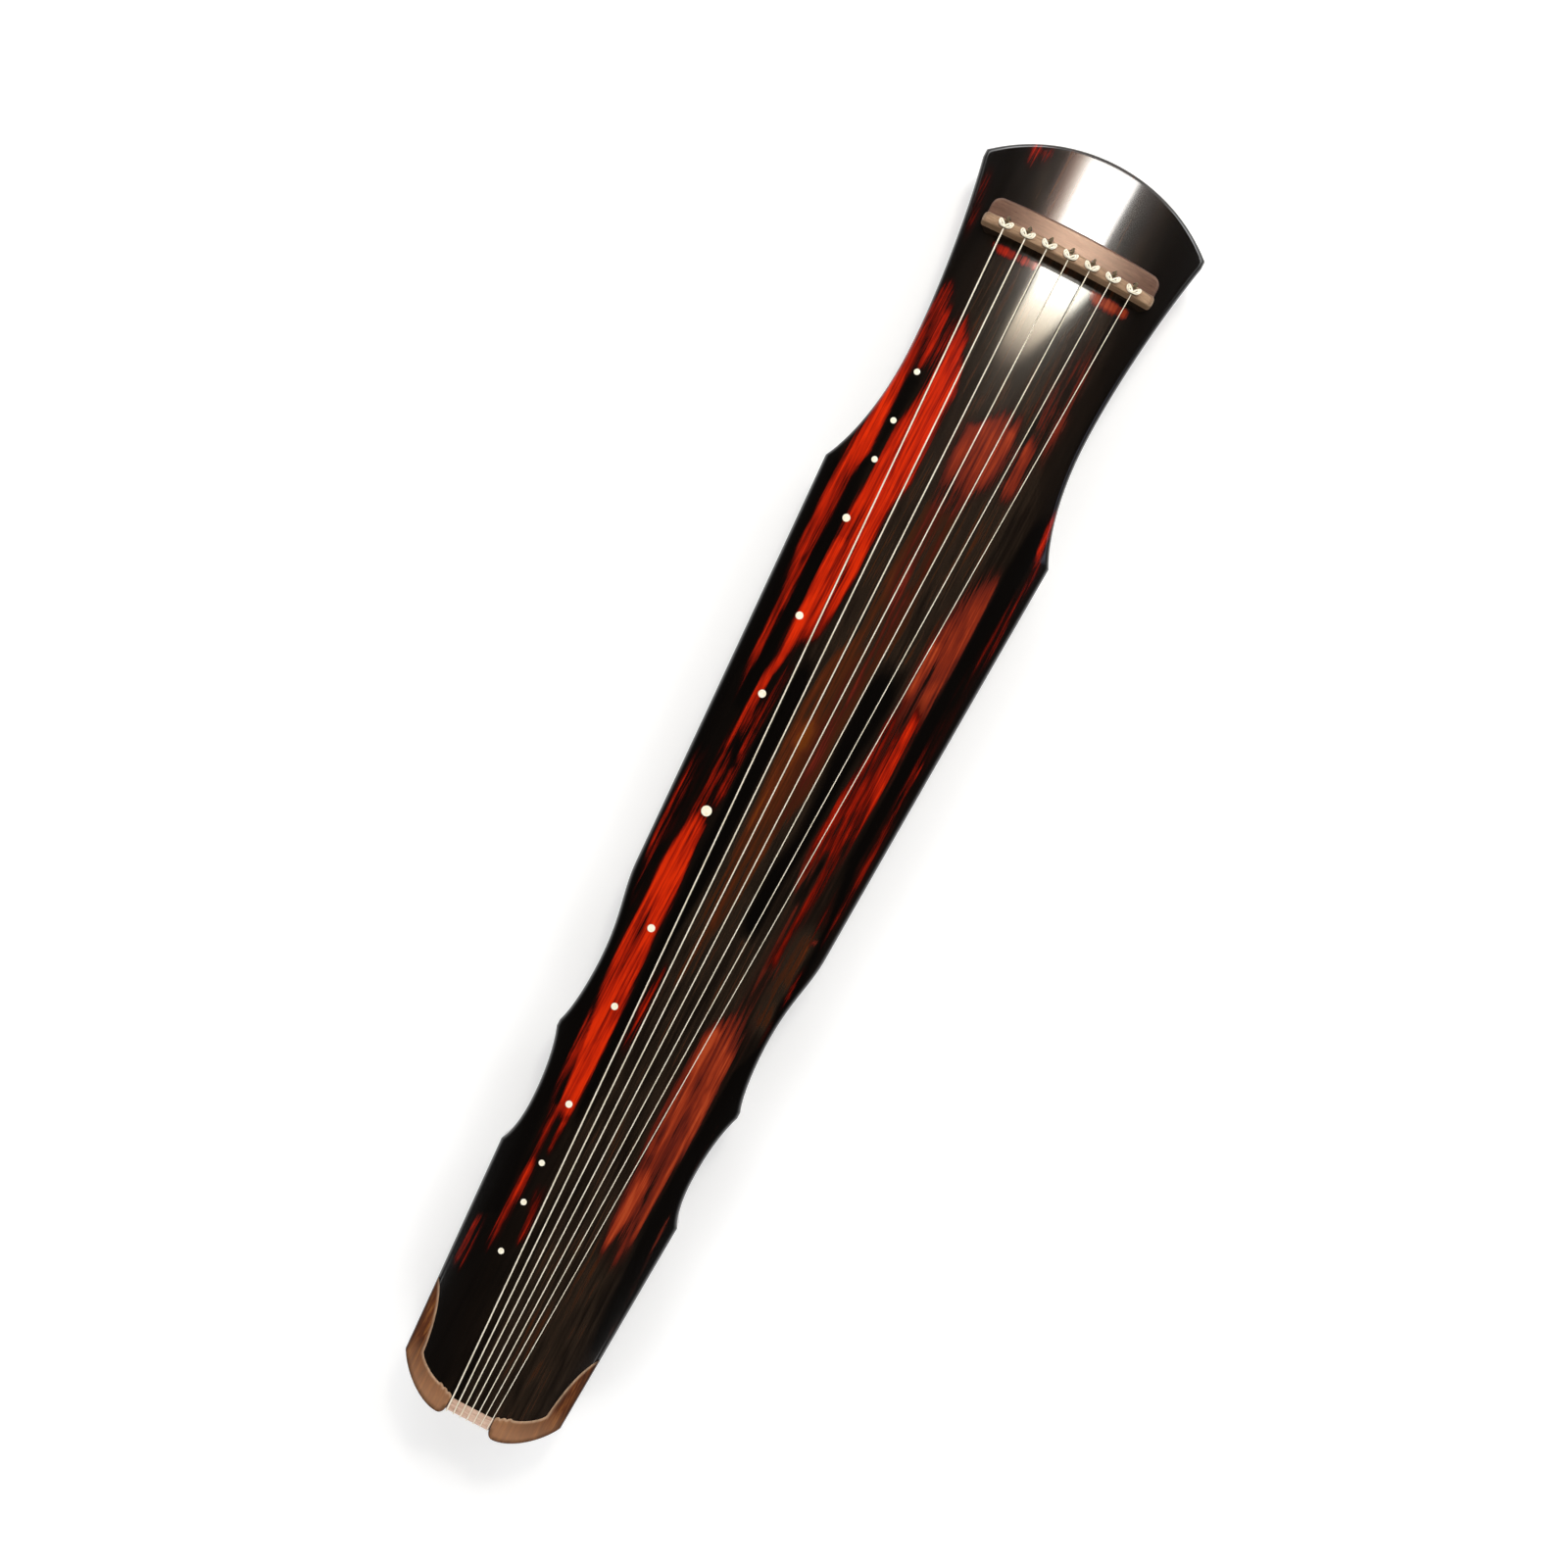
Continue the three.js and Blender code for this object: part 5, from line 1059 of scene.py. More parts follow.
def head_strip():
    half = STRIP_SPAN / 2
    rows = half * np.sin(np.linspace(-math.pi / 2, math.pi / 2, 90))
    back = np.full_like(rows, STRIP_X - STRIP_DEPTH / 2)
    bow = STRIP_BOW * (1 - np.minimum(np.abs(rows) / (half - STRIP_CORNER), 1) ** 2)
    front = STRIP_X + STRIP_DEPTH / 2 + bow - rounding(half - np.abs(rows), STRIP_CORNER)
    shares = [rim_shares(width, 2.6, 8, True) for width in front - back]
    points, faces = patch(np.column_stack([back, rows]), np.column_stack([front, rows]), shares)
    strip = plate("rosewood_head_strip", points, faces)
    grow(strip, DOME, lift=STRIP_RISE * MM, edge_round=2.0 * MM, depth=3 * MM, material=STRIP_WOOD)
    holes = []
    for number in range(STRING_COUNT):
        ring = arc(CHANNEL_X, bridge_y(number), CHANNEL_RADIUS, 0, 2 * math.pi, 25)[1:]
        holes.append(prism("channel", ring, BOARD_SEAM, STAND + 90))
    carve(strip, holes)
    keep(strip, BODY, "rosewood", "head_strip")


# Straight hardwood of one profile, drawn along X and Z and thick along Y, with its edges eased
def profiled(name, profile, middle_y, thick, ease, material):
    points = [(x, middle_y + side * thick / 2, z) for side in (-1, 1) for x, z in profile]
    piece = mesh_object(name, points, tube_faces(2, len(profile)), (material,))
    face_outwards(piece)
    ease_edges(piece, ease, 40)
    return settle(piece)


# Points on an arc round a centre, in any of the three planes
def arc(centre_x, centre_y, radius, start, end, steps):
    angles = np.linspace(start, end, steps)
    return [(centre_x + radius * math.cos(angle), centre_y + radius * math.sin(angle)) for angle in angles]


def tail_nuts():
    high = float(dome(at(LENGTH), 0)) + NUT_RISE
    back = NUT_FACE_X + NUT_DEPTH
    width = STRING_GAP - 2 * CLEARANCE
    upper = [(back, high - NUT_HEIGHT), (back, high)]
    upper += arc(NUT_CONTACT_X, high - NUT_ROUND, NUT_ROUND, math.pi / 2, math.pi, 14)
    upper += [(NUT_FACE_X, high - NUT_HEIGHT)]
    keep(profiled("hardwood_tail_nut", upper, 0, width, 0.4, NUT_WOOD), BODY, "nut_wood", "tail_nut")
    lower = [(back, BOARD_SEAM), (NUT_FACE_X, BOARD_SEAM)]
    lower += arc(NUT_CONTACT_X, TAIL_LOW + NUT_ROUND, NUT_ROUND, math.pi, 1.5 * math.pi, 14)
    lower += [(back, TAIL_LOW)]
    keep(profiled("hardwood_lower_nut", lower, 0, width, 0.4, NUT_WOOD), BODY, "nut_wood", "lower_tail_nut")


# Evenly spaced points along a line of points
def respaced(line, count):
    line = np.asarray(line, float)
    run = np.concatenate([[0], np.cumsum(np.hypot(*np.diff(line, axis=0).T))])
    wanted = np.linspace(0, run[-1], count)
    return np.column_stack([np.interp(wanted, run, line[:, axis]) for axis in (0, 1)])


# The outer line of the tail from a station to the string notch, a little inside the body
def tail_edge(length, inset):
    line = OUTER[OUTER[:, 0] < at(LENGTH - length)]
    start = [(at(LENGTH - length), float(half_width(at(LENGTH - length))))]
    line = np.vstack([start, line, PRONG[1:]])
    tangent = np.gradient(line, axis=0)
    tangent /= np.hypot(*tangent.T)[:, None]
    normal = np.column_stack([-tangent[:, 1], tangent[:, 0]])
    return line + normal * inset


def line_distance(points, line):
    return np.sqrt(((points[:, None] - np.asarray(line)) ** 2).sum(2)).min(1)


# The plan between an inner and an outer line of the tail, with rows from one to the other
def between_lines(inner, outer, side, rows, rim, columns):
    inner, outer = respaced(inner, rows), respaced(outer, rows)
    outer[:, 1] = np.maximum(outer[:, 1], STRING_GAP / 2)
    inner[:, 1] *= side
    outer[:, 1] *= side
    widths = np.hypot(*(outer - inner).T)
    shares = [rim_shares(width, rim, columns, True) for width in widths]
    return inner, outer, patch(inner, outer, shares)


# A crown corner: hardwood let into the tail, raised a little, scalloped beside the tail nut
def crown_corner(side, name):
    start = (at(LENGTH - CROWN_LENGTH), TAIL_WIDTH / 2 + CROWN_FLARE)
    turn = (at(LENGTH - CROWN_TURN), CROWN_TURN_HALF)
    scallop = (at(LENGTH - CROWN_BACK), STRING_GAP / 2 + CROWN_LOBES * CROWN_LOBE_WIDTH)
    inner = [np.array([start]), sweep(start, turn, CROWN_SIDE_HANDLES, 40)]
    inner.append(sweep(turn, scallop, CROWN_TURN_HANDLES, 30))
    slant = (CROWN_BACK - CROWN_INNER_BACK) / CROWN_LOBES
    t = np.linspace(0, 1, 9)[1:]
    for lobe in range(CROWN_LOBES - 1, -1, -1):
        y = STRING_GAP / 2 + CROWN_LOBE_WIDTH * (lobe + 1 - t)
        base = at(LENGTH - CROWN_INNER_BACK - (lobe + 1 - t) * slant)
        inner.append(np.column_stack([base + 4 * CROWN_LOBE_DEPTH * t * (1 - t), y]))
    inner = np.vstack(inner)
    inner = inner[inner[:, 1] < half_width(inner[:, 0]) - 0.4]
    outer = tail_edge(CROWN_LENGTH - 2, INLAY_INSET)
    inner, outer, plan = between_lines(inner, outer, side, 170, 2.6, 9)
    piece = plate("crown_corner_" + name + "_inlay", *plan)
    places = vertex_places(piece)[:, :2]
    # Marks for the painted highlight along the inner edge and the painted shade along the outer edge
    for label, line, reach in (("painted_edge_highlight", inner, 2.4), ("shaded", outer, 4.0)):
        mark_vertices(piece, label, np.clip(1 - line_distance(places, line) / reach, 0, 1))
    grow(piece, DOME, lift=CROWN_RISE * MM, edge_round=1.1 * MM, depth=6 * MM, material=CROWN_WOOD)
    keep(piece, BODY, "crown_wood", "crown_corner_" + name)


def tail_support(side, name):
    start = (at(LENGTH - SUPPORT_LENGTH), TAIL_WIDTH / 2)
    end = (at(LENGTH - NUT_DEPTH), STRING_GAP / 2)
    inner = np.vstack([[start], sweep(start, end, (0.55, 0.05, 0.95, 0.45), 40)])
    outer = tail_edge(SUPPORT_LENGTH, INLAY_INSET)
    inner, outer, plan = between_lines(inner, outer, side, 90, 2.2, 7)
    piece = plate("tail_support_" + name + "_wood", *plan,
                  lambda x, y, rim: np.full_like(x, STAND + 5),
                  lambda x, y, rim: TAIL_LOW + rounding(rim, 1.0), (SUPPORT_WOOD,))
    keep(settle(piece), BODY, "crown_wood", "tail_support_" + name)


# A turned piece: a profile of radius and height swept round an upright axis
def turned(name, profile, sides, centre, material, offset=0.0):
    points = []
    for radius, z in profile:
        for side in range(sides):
            angle = 2 * math.pi * (side + offset) / sides
            points.append((centre[0] + radius * math.cos(angle), centre[1] + radius * math.sin(angle), z))
    piece = mesh_object(name, points, tube_faces(len(profile), sides), (material,))
    face_outwards(piece)
    return piece


# A smooth line through a few points
def smooth_line(knots, steps):
    knots = [np.array(knot, float) for knot in knots]
    line = []
    for place in range(len(knots) - 1):
        before, start = knots[max(place - 1, 0)], knots[place]
        end, after = knots[place + 1], knots[min(place + 2, len(knots) - 1)]
        for t in np.linspace(0, 1, steps, endpoint=False):
            bend = 2 * before - 5 * start + 4 * end - after
            twist = 3 * start - before - 3 * end + after
            line.append(0.5 * (2 * start + (end - before) * t + bend * t ** 2 + twist * t ** 3))
    line.append(knots[-1])
    return np.array(line)


def tuning_peg(number):
    y = bridge_y(number)
    profile = [(2.2, 2.5), (3.4, 2.6), (4.2, 3.1), (4.6, 4.1)]
    profile += list(smooth_line([(4.7, 4.6), (5.6, 9), (6.4, 17.0), (5.9, 19.4), (4.25, 21.9)], 6))
    profile += [(PEG_NECK, 22.3), (PEG_NECK, 31.6), (4.4, 32.1), (5.9, 34.3), (6.2, 34.8)]
    profile += [(6.2, PEG_TOP - 0.5), (5.8, PEG_TOP)]
    peg = turned("turned_peg_%d" % (number + 1), profile, 48, (CHANNEL_X, y), TURNED_ROSEWOOD)
    bore = prism("bore", arc(CHANNEL_X, y, PEG_BORE, 0, 2 * math.pi, 21)[1:], PEG_HOLE_Z, PEG_TOP + 5)
    ring = arc(y, PEG_HOLE_Z, PEG_BORE, 0, 2 * math.pi, 21)[1:]
    points = [(CHANNEL_X + reach, *place) for reach in (0, 12) for place in ring]
    side_hole = mesh_object("side_hole", points, tube_faces(2, len(ring)))
    face_outwards(side_hole)
    carve(peg, [bore, side_hole])
    keep(peg, "peg_%d" % (number + 1), "rosewood", "tuning_peg_%d" % (number + 1))


def goose_foot(side, name):
    profile = [(11.3, 0), (12.5, 1.2), (12.5, 5)]
    profile += list(smooth_line([(12.3, 5.2), (10.2, 6.2), (9.1, 7.6), (FOOT_NECK / 2, 10)], 4))
    profile += [(FOOT_NECK / 2, 22.4), (9.3, 22.8), (11, 23.2), (11, STAND)]
    centre = (FOOT_X, side * FOOT_SPACING / 2)
    foot = turned("goose_foot_%s_wood" % name, profile, 8, centre, TURNED_ROSEWOOD, 0.5)
    ease_edges(foot, 0.5, 30)
    keep(settle(foot, 30), BODY, "rosewood", "goose_foot_" + name)


def peg_guard(side, name):
    sole, shoulder = (GUARD_X + 12, 0), (GUARD_X + 21, STAND)
    front = np.vstack([[sole], sweep(sole, shoulder, (0.1, 0.55, 0.5, 0.9), 16)])
    back = [(2 * GUARD_X - x, z) for x, z in front[::-1]]
    profile = [*front, *back]
    middle = side * GUARD_SPACING / 2
    guard = profiled("peg_guard_%s_wood" % name, profile, middle, GUARD_THICK, 1.6, TURNED_ROSEWOOD)
    keep(guard, BODY, "rosewood", "peg_guard_" + name)


# A strand along a line of points: one round thread, or several twisted round the line
def strand_tree():
    inputs = [("Diameter", "NodeSocketFloat", 0.001), ("Plies", "NodeSocketInt", 1),
              ("Pitch", "NodeSocketFloat", 0.006), ("Twist Radius", "NodeSocketFloat", 0.0),
              ("Sides", "NodeSocketInt", 10), ("Step", "NodeSocketFloat", 0.0),
              ("Material", "NodeSocketMaterial", None)]
    tree, given = new_tree("twisted_strand", inputs)
    line = add(tree, "GeometryNodeMeshToCurve", {"Mesh": given["Geometry"]})
    spaced = add(tree, "GeometryNodeResampleCurve", {"Curve": line, "Length": given["Step"]}, mode="LENGTH")
    stepped = add(tree, "FunctionNodeCompare", [given["Step"], 0.0], operation="GREATER_THAN")
    choice = {"Switch": stepped, "False": line, "True": spaced}
    chosen = add(tree, "GeometryNodeSwitch", choice, input_type="GEOMETRY")
    copies = {"Geometry": chosen, "Amount": given["Plies"]}
    plies = add(tree, "GeometryNodeDuplicateElements", copies, domain="SPLINE").outputs
    share = add(tree, "ShaderNodeMath", [plies["Duplicate Index"], given["Plies"]], operation="DIVIDE")
    run = add(tree, "GeometryNodeSplineParameter").outputs["Length"]
    turns = add(tree, "ShaderNodeMath", [run, given["Pitch"]], operation="DIVIDE")
    whole_turns = add(tree, "ShaderNodeMath", [share, turns], operation="ADD")
    angle = add(tree, "ShaderNodeMath", [whole_turns, 2 * math.pi], operation="MULTIPLY")
    normal = add(tree, "GeometryNodeInputNormal")
    tangent = add(tree, "GeometryNodeInputTangent")
    across = add(tree, "ShaderNodeVectorMath", [tangent, normal], operation="CROSS_PRODUCT")
    parts = []
    for direction, wave in ((normal, "COSINE"), (across, "SINE")):
        swing = add(tree, "ShaderNodeMath", [angle], operation=wave)
        reach = add(tree, "ShaderNodeMath", [swing, given["Twist Radius"]], operation="MULTIPLY")
        parts.append(add(tree, "ShaderNodeVectorMath", {0: direction, "Scale": reach}, operation="SCALE"))
    offset = add(tree, "ShaderNodeVectorMath", parts)
    twisted = add(tree, "GeometryNodeSetPosition", {"Geometry": plies["Geometry"], "Offset": offset})
    radius = add(tree, "ShaderNodeMath", [given["Diameter"], 0.5], operation="MULTIPLY")
    ring = add(tree, "GeometryNodeCurvePrimitiveCircle", {"Resolution": given["Sides"], "Radius": radius})
    thick = add(tree, "GeometryNodeCurveToMesh", {"Curve": twisted, "Profile Curve": ring, "Fill Caps": True})
    finish_tree(tree, thick, given["Material"])
    return tree


STRAND = strand_tree()


def strand(name, points, **values):
    edges = [(place, place + 1) for place in range(len(points) - 1)]
    return grow(mesh_object(name, points, [], edges=edges), STRAND, 60, **values)


def join_pieces(name, pieces):
    shape = bmesh.new()
    materials = []
    for piece in pieces:
        start = len(shape.faces)
        shape.from_mesh(piece.data)
        shape.faces.ensure_lookup_table()
        for face in shape.faces[start:]:
            material = piece.data.materials[0]
            if material not in materials:
                materials.append(material)
            face.material_index = materials.index(material)
    mesh = bpy.data.meshes.new(name)
    for material in materials:
        mesh.materials.append(material)
    shape.to_mesh(mesh)
    shape.free()
    for piece in pieces:
        bpy.data.objects.remove(piece)
    whole = bpy.data.objects.new(name, mesh)
    bpy.context.scene.collection.objects.link(whole)
    return whole


# The bow-shaped knot: two rounds of ears that lean to the head, the second inside the first
def knot_line(number):
    y = bridge_y(number)
    floor = float(bridge_top(y)) + KNOT_STRAND / 2
    knots = []
    for step in range(2 * KNOT_STEPS - 2, 0, -1):
        angle = 2 * math.pi * step / KNOT_STEPS
        reach = KNOT_EARS[step // KNOT_STEPS]
        side = reach * math.sin(angle)
        along = 0.34 * reach * math.sin(2 * angle) + 0.62 * abs(side)
        knots.append((BRIDGE_X + 2.2 + along, y + side, floor + 0.72 * angle / math.pi))
    knots.append((BRIDGE_X + 1.4, y, floor))
    knots.append((BRIDGE_X + 0.6, y, floor - (KNOT_STRAND - string_diameter(number)) / 2))
    return smooth_line(knots, 3)


def foot_winding(number, start):
    first_here = 0 if number < FAR_FOOT_STRINGS else FAR_FOOT_STRINGS
    side = -1 if first_here else 1
    diameter = string_diameter(number)
    centre = np.array([FOOT_X, side * FOOT_SPACING / 2])
    radius = FOOT_NECK / 2 + CLEARANCE + WINDING_GAP / 4 + diameter / 2
    toward = centre - np.array(start[:2])
    swing = math.asin(radius / math.hypot(*toward))
    first = math.atan2(toward[1], toward[0]) - side * (swing + math.pi / 2)
    high = STAND - 1 - 2 * CLEARANCE - diameter / 2
    for other in range(first_here, number):
        high -= 2 * (string_diameter(other) + WINDING_GAP)
    line = []
    for turn in np.arange(0, FOOT_TURNS + 0.001, 1 / TURN_STEPS):
        angle = first + side * 2 * math.pi * turn
        z = high - (diameter + WINDING_GAP) * turn
        line.append((centre[0] + radius * math.cos(angle), centre[1] + radius * math.sin(angle), z))
    return line


def string_line(number):
    diameter = string_diameter(number)
    reach = NUT_ROUND + CLEARANCE + diameter / 2
    y = tail_y(number)
    nut_z = float(dome(at(LENGTH), 0)) + NUT_RISE - NUT_ROUND
    lower_z = TAIL_LOW + NUT_ROUND
    over = [(x, y, z) for x, z in arc(NUT_CONTACT_X, nut_z, reach, math.pi / 2, math.pi, 10)]
    under = [(x, y, z) for x, z in arc(NUT_CONTACT_X, lower_z, reach, math.pi, 1.5 * math.pi, 10)]
    return over + under + foot_winding(number, under[-1])


def strings():
    for number in range(STRING_COUNT):
        knot = knot_line(number)
        bow = strand("knot", knot, diameter=KNOT_STRAND * MM, sides=12, material=KNOT)
        line = [knot[-1], *string_line(number)]
        length = strand("length", line, diameter=string_diameter(number) * MM, sides=12, material=STRING)
        whole = join_pieces("wound_string_%d" % (number + 1), [bow, length])
        keep(whole, BODY, "string_wrap", "string_%d" % (number + 1))


# Silk: two plies twisted, thick for the cords and thin for the loops round the knots
CORD_RADIUS = CORD_DIAMETER / 2
THICK_SILK = {"diameter": CORD_DIAMETER * 0.54 * MM, "plies": 2, "pitch": 4.4 * MM,
              "twist_radius": CORD_DIAMETER * 0.22 * MM, "sides": 10, "step": 0.45 * MM, "material": SILK}
THIN_SILK = dict(THICK_SILK, diameter=0.95 * MM, pitch=3.2 * MM, twist_radius=0.4 * MM)


# From the knot over the bridge and down to the peg, with a loop round the knot
def tuning_cord(number):
    y = bridge_y(number)
    back = BRIDGE_X + BRIDGE_THICK
    top = float(bridge_top(y))
    over = top + CLEARANCE + CORD_RADIUS
    hole_z = float(dome(CHANNEL_X, y)) + STRIP_RISE
    route = [(back - 2.2, over), (back - 1.2, over), (back + CORD_RADIUS / 2, top + CORD_RADIUS),
             (back + CORD_RADIUS + CLEARANCE, top - 1.2), (CHANNEL_X - CORD_RADIUS, hole_z + CORD_DIAMETER),
             (CHANNEL_X - CORD_RADIUS / 4, hole_z + CORD_RADIUS / 2), (CHANNEL_X, hole_z - CORD_DIAMETER),
             (CHANNEL_X, PEG_TOP + CLEARANCE)]
    route = [(x, y, z) for x, z in route]
    cord = strand("silk_cord", smooth_line(route, 6), **THICK_SILK)
    loop = [(back - 1.8, 0.5), (BRIDGE_X + 4.6, 2.4), (BRIDGE_X + 2.2, 2.4), (BRIDGE_X + 1.2, 1.2),
            (BRIDGE_X + 1.0, 0.0)]
    loop += [(x, -across) for x, across in loop[-2::-1]]
    loop = [(x, y + across, top + 1.0) for x, across in loop]
    ring = strand("silk_loop", smooth_line(loop, 6), **THIN_SILK)
    whole = join_pieces("silk_cord_%d" % (number + 1), [cord, ring])
    keep(whole, BODY, "silk_cord", "tuning_cord_%d" % (number + 1))


# The cord's end, down the peg's bore, out of its side hole and round its neck
def peg_tie(number):
    y = bridge_y(number)
    turn_radius = PEG_NECK + CLEARANCE + WINDING_GAP / 4 + CORD_RADIUS
    route = [(CHANNEL_X, y, PEG_TOP - CLEARANCE), (CHANNEL_X, y, PEG_HOLE_Z + CORD_RADIUS),
             (CHANNEL_X + CORD_RADIUS / 4, y, PEG_HOLE_Z + CORD_RADIUS / 4),
             (CHANNEL_X + CORD_RADIUS, y, PEG_HOLE_Z), (CHANNEL_X + 4.5, y, PEG_HOLE_Z)]
    for turn in np.linspace(0, TIE_TURNS, 31)[1:]:
        angle = 2 * math.pi * turn
        z = PEG_HOLE_Z - (CORD_DIAMETER + WINDING_GAP) * turn
        route.append((CHANNEL_X + turn_radius * math.cos(angle), y + turn_radius * math.sin(angle), z))
    tie = strand("silk_tie_%d" % (number + 1), smooth_line(route, 3), **THICK_SILK)
    keep(tie, "peg_%d" % (number + 1), "silk_cord", "peg_tie_%d" % (number + 1))


# Studs: one cut disc set at each point of the harmonic line, as wide as the point says
def stud_tree():
    inputs = [("Disc", "NodeSocketObject", None), ("Material", "NodeSocketMaterial", None)]
    tree, given = new_tree("stud_row", inputs)
    disc = add(tree, "GeometryNodeObjectInfo", {"Object": given["Disc"]}).outputs["Geometry"]
    marks = []
    for label, kind in (("size", "FLOAT"), ("way", "FLOAT_VECTOR")):
        mark = add(tree, "GeometryNodeInputNamedAttribute", {"Name": label}, data_type=kind)
        marks.append(mark.outputs["Attribute"])
    size, way = marks
    turn = add(tree, "FunctionNodeAlignRotationToVector", {"Vector": way}, axis="Z")
    scale = add(tree, "ShaderNodeCombineXYZ", [size, size, 1.0])
    points = add(tree, "GeometryNodeMeshToPoints", {"Mesh": given["Geometry"]})
    discs = {"Points": points, "Instance": disc, "Rotation": turn, "Scale": scale}
    finish_tree(tree, add(tree, "GeometryNodeInstanceOnPoints", discs), given["Material"])
    return tree


def studs():
    profile = [(0.497, -0.9), (0.5, 0.05), (0.494, 0.16), (0.47, 0.24),
               (0.42, 0.29), (0.3, 0.33), (0.15, 0.35), (0.01, 0.355)]
    disc = turned("stud_disc", profile, 40, (0, 0), SHELL)
    for vertex in disc.data.vertices:
        vertex.co.x /= MM
        vertex.co.y /= MM
    places, ways, sizes = [], [], []
    for share, size in zip(STUD_SHARES, STUD_SIZES):
        along = (share - STUD_SHARES[0]) / (STUD_SHARES[-1] - STUD_SHARES[0])
        x = at_share(share)
        bow = STUD_BOW * 4 * along * (1 - along)
        y = STUD_FIRST_OFFSET + (STUD_LAST_OFFSET - STUD_FIRST_OFFSET) * along + bow
        slope_x = float(dome(x + 1, y) - dome(x - 1, y)) / 2
        slope_y = float(dome(x, y + 1) - dome(x, y - 1)) / 2
        places.append((x, y, float(dome(x, y))))
        ways.append(tuple(Vector((-slope_x, -slope_y, 1)).normalized()))
        sizes.append(size * MM)
    row = mesh_object("shell_studs", places, [])
    mark_vertices(row, "size", sizes)
    row.data.attributes.new("way", "FLOAT_VECTOR", "POINT").data.foreach_set("vector", np.ravel(ways))
    grow(row, stud_tree(), 50, disc=disc, material=SHELL)
    bpy.data.objects.remove(disc)
    keep(row, BODY, "shell", *["stud_%02d" % (place + 1) for place in range(len(STUD_SHARES))])


top_board()
bottom_board()
bridge()
head_strip()
tail_nuts()
for side, name in ((1, "hui_side"), (-1, "near_side")):
    crown_corner(side, name)
    tail_support(side, name)
    goose_foot(side, name)
    peg_guard(side, name)
for number in range(STRING_COUNT):
    tuning_peg(number)
strings()
for number in range(STRING_COUNT):
    tuning_cord(number)
    peg_tie(number)
studs()

# Pieces that keep their CAD shape
for name, material in (("heaven_post", PAULOWNIA), ("earth_post", PAULOWNIA), ("peg_pool_plate", ROSEWOOD),
                       ("foot_socket_hui_side", ROSEWOOD), ("foot_socket_near_side", ROSEWOOD)):
    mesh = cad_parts[name].data
    mesh.materials.clear()
    mesh.materials.append(material)


# Rays that show the background: to the eye, and in a reflection or through glass
def seen_rays(tree):
    path = add(tree, "ShaderNodeLightPath").outputs
    indirect = [path["Is Glossy Ray"], path["Is Transmission Ray"]]
    return path["Is Camera Ray"], add(tree, "ShaderNodeMath", indirect, operation="MAXIMUM")


# Floor: pale, brighter to the eye than to the lamps and whiter far off, so that it reads as white but
# keeps the shadow. From below it is clear, so that the underside can be looked at.
def studio_floor():
    corners = [(x, y, -FLOOR_GAP) for x, y in ((-1, -1), (1, -1), (1, 1), (-1, 1))]
    corners = [(x * FLOOR_REACH, y * FLOOR_REACH, z) for x, y, z in corners]
    floor = mesh_object("floor", corners, [(0, 1, 2, 3)])
    material = bpy.data.materials.new("white_floor")
    material.use_nodes = True
    tree = material.node_tree
    tree.nodes.clear()
    place = add(tree, "ShaderNodeTexCoord").outputs["Object"]
    away = add(tree, "ShaderNodeVectorMath", [place], operation="LENGTH").outputs["Value"]
    whiter = add(tree, "ShaderNodeMapRange", [away, 1.2, 4.0, 0.4, 1.0])
    seen = add(tree, "ShaderNodeMath", seen_rays(tree), operation="MAXIMUM")
    strength = add(tree, "ShaderNodeMath", [seen, whiter], operation="MULTIPLY")
    matt = add(tree, "ShaderNodeBsdfDiffuse", {"Color": grey(0.72)})
    glow = add(tree, "ShaderNodeEmission", {"Color": grey(1), "Strength": strength})
    both = add(tree, "ShaderNodeAddShader", [matt, glow])
    clear = add(tree, "ShaderNodeBsdfTransparent")
    under = add(tree, "ShaderNodeNewGeometry").outputs["Backfacing"]
    add(tree, "ShaderNodeOutputMaterial", [add(tree, "ShaderNodeMixShader", [under, both, clear])])
    floor.data.materials.append(material)


# World: white to the eye. In reflections it is a backdrop that darkens upwards, so that the polished
# black stays black, and to everything else a dim even light.
def studio_world():
    world = bpy.data.worlds.new("studio")
    world.use_nodes = True
    tree = world.node_tree
    sky = add(tree, "ShaderNodeTexCoord").outputs["Generated"]
    height = add(tree, "ShaderNodeSeparateXYZ", [sky]).outputs["Z"]
    overhead = (0.8, [0.012, 0.011, 0.01, 1])
    tone = add(tree, "ShaderNodeValToRGB", [height], [
        (0.0, [0.16, 0.157, 0.152, 1]), (0.5, [0.1, 0.098, 0.095, 1]), overhead])
    backdrop = add(tree, "ShaderNodeValToRGB", [height], [
        (0.06, grey(1)), (0.3, grey(0.42)), (0.55, grey(0.1)), overhead])
    eye, mirrored = seen_rays(tree)
    for ray, seen in ((mirrored, backdrop), (eye, grey(1))):
        layers = {"Factor": ray, "A": tone, "B": seen}
        tone = add(tree, "ShaderNodeMix", layers, data_type="RGBA").outputs["Result"]
    connect(tree, tree.nodes["Background"], {"Color": tone})
    bpy.context.scene.world = world


# A lamp; a pattern gives its colour from the place on it, so that a reflected edge can be soft
def soft_box(name, place, target, length, width, power, tone=(1, 1, 1), pattern=None):
    data = bpy.data.lights.new(name, "AREA")
    data.shape = "RECTANGLE"
    data.size = length
    data.size_y = width
    data.energy = power
    data.color = tone
    if pattern:
        data.use_nodes = True
        tree = data.node_tree
        spot = add(tree, "ShaderNodeNewGeometry").outputs["Parametric"]
        parts = add(tree, "ShaderNodeSeparateXYZ", [spot]).outputs
        connect(tree, tree.nodes["Emission"], {"Color": pattern(tree, parts["X"], parts["Y"])})
    lamp = bpy.data.objects.new(name, data)
    lamp.location = place
    lamp.rotation_euler = (Vector(target) - Vector(place)).to_track_quat("-Z", "Y").to_euler()
    lamp.visible_camera = False
    bpy.context.scene.collection.objects.link(lamp)


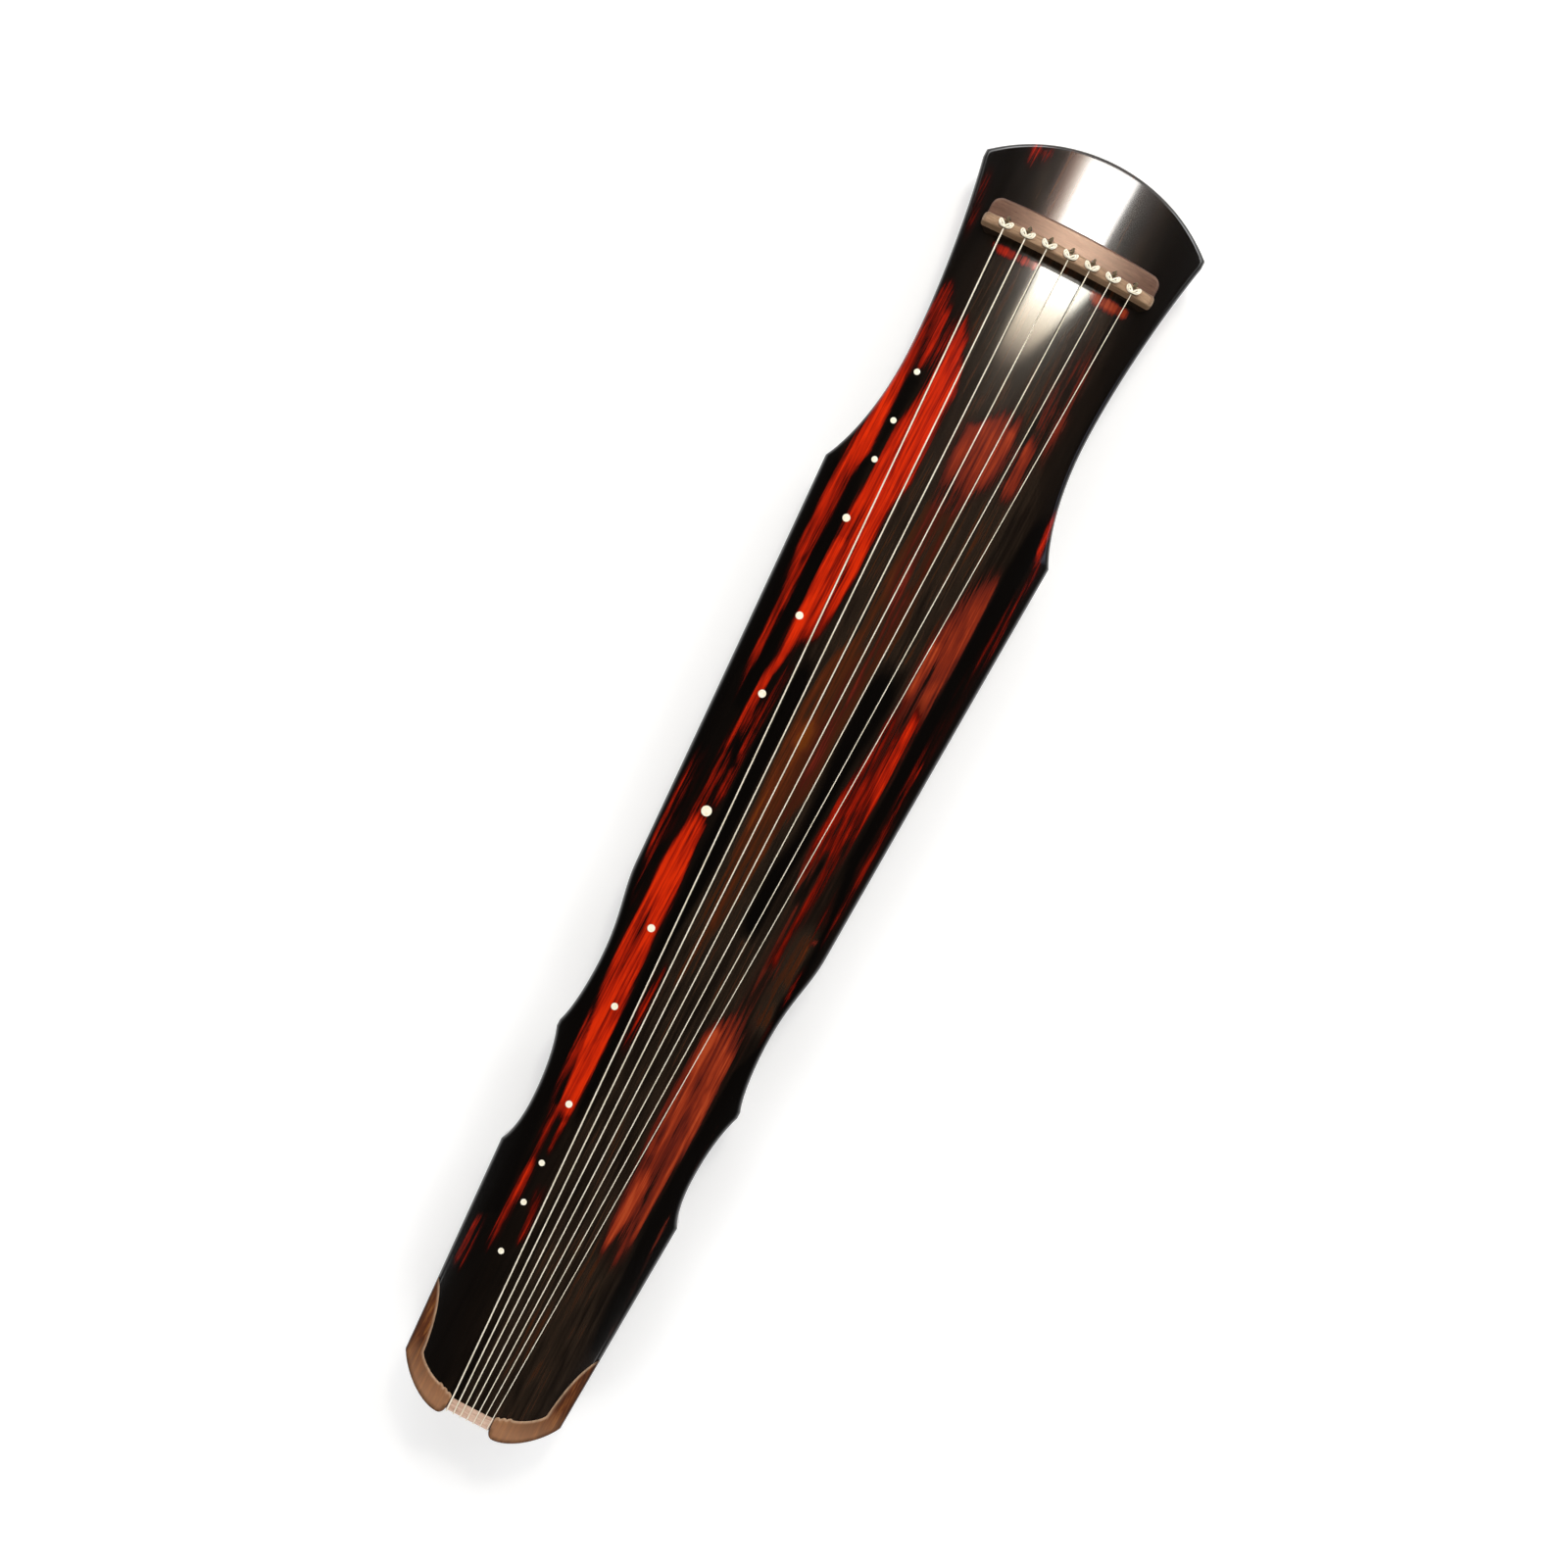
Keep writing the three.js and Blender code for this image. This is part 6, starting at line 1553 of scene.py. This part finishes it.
# The window over the head: a sharp edge on the near side, a curtain's brown fade on the other
def curtained(tree, u, v):
    return add(tree, "ShaderNodeValToRGB", [v], [
        (0.0, grey(1)), (0.62, grey(1)), (0.72, [0.42, 0.35, 0.3, 1]),
        (0.84, [0.11, 0.062, 0.046, 1]), (1.0, [0.01, 0.005, 0.004, 1])])


# The window's foot: it narrows and dims towards the tail
def narrowing(tree, u, v):
    dim = add(tree, "ShaderNodeValToRGB", [u], [
        (0.0, [0.01, 0.008, 0.006, 1]), (0.12, [0.07, 0.055, 0.045, 1]), (0.26, [0.26, 0.22, 0.18, 1]),
        (0.42, [0.47, 0.41, 0.33, 1]), (0.6, [0.74, 0.69, 0.6, 1]), (0.76, [1, 1, 0.95, 1])])
    edges = []
    for slant, ranges in ((0.69, (0.55, 0.69, 0.0, 1.0)), (0.14, (0.95, 1.1, 1.0, 0.0))):
        place = add(tree, "ShaderNodeMath", [u, slant, v], operation="MULTIPLY_ADD")
        edges.append(add(tree, "ShaderNodeMapRange", [place, *ranges]))
    inside = add(tree, "ShaderNodeMath", edges, operation="MULTIPLY")
    layers = {"Factor": inside, "A": grey(0), "B": dim}
    return add(tree, "ShaderNodeMix", layers, data_type="RGBA").outputs["Result"]


studio_floor()
studio_world()

# Lamps: place and target in metres, length, width and power in watts
MIDDLE = (0, 0, 0)
soft_box("head_window", (1.44, 0.06, 2.0), (1.44, 0.06, 0.0), 0.36, 0.46, 17, (1.0, 0.97, 0.93), curtained)
soft_box("window_foot", (1.14, -0.05, 2.01), (1.14, -0.05, 0.0), 0.32, 0.42, 14, (1.0, 0.97, 0.9), narrowing)
soft_box("blue_glint", (0.95, -1.75, 2.0), (0.3, 0, 0), 0.5, 0.4, 1.0, (0.7, 0.75, 1.0))
soft_box("head_box", (2.7, 0.0, 2.2), MIDDLE, 3.6, 1.4, 40)
soft_box("tail_box", (-2.7, 0.0, 1.7), MIDDLE, 3.6, 1.0, 34)
for x, power in ((2.6, 36), (-2.6, 30)):
    for y in (1.9, -1.9):
        soft_box("corner_box", (x, y, 2.2), MIDDLE, 2.2, 1.3, power)
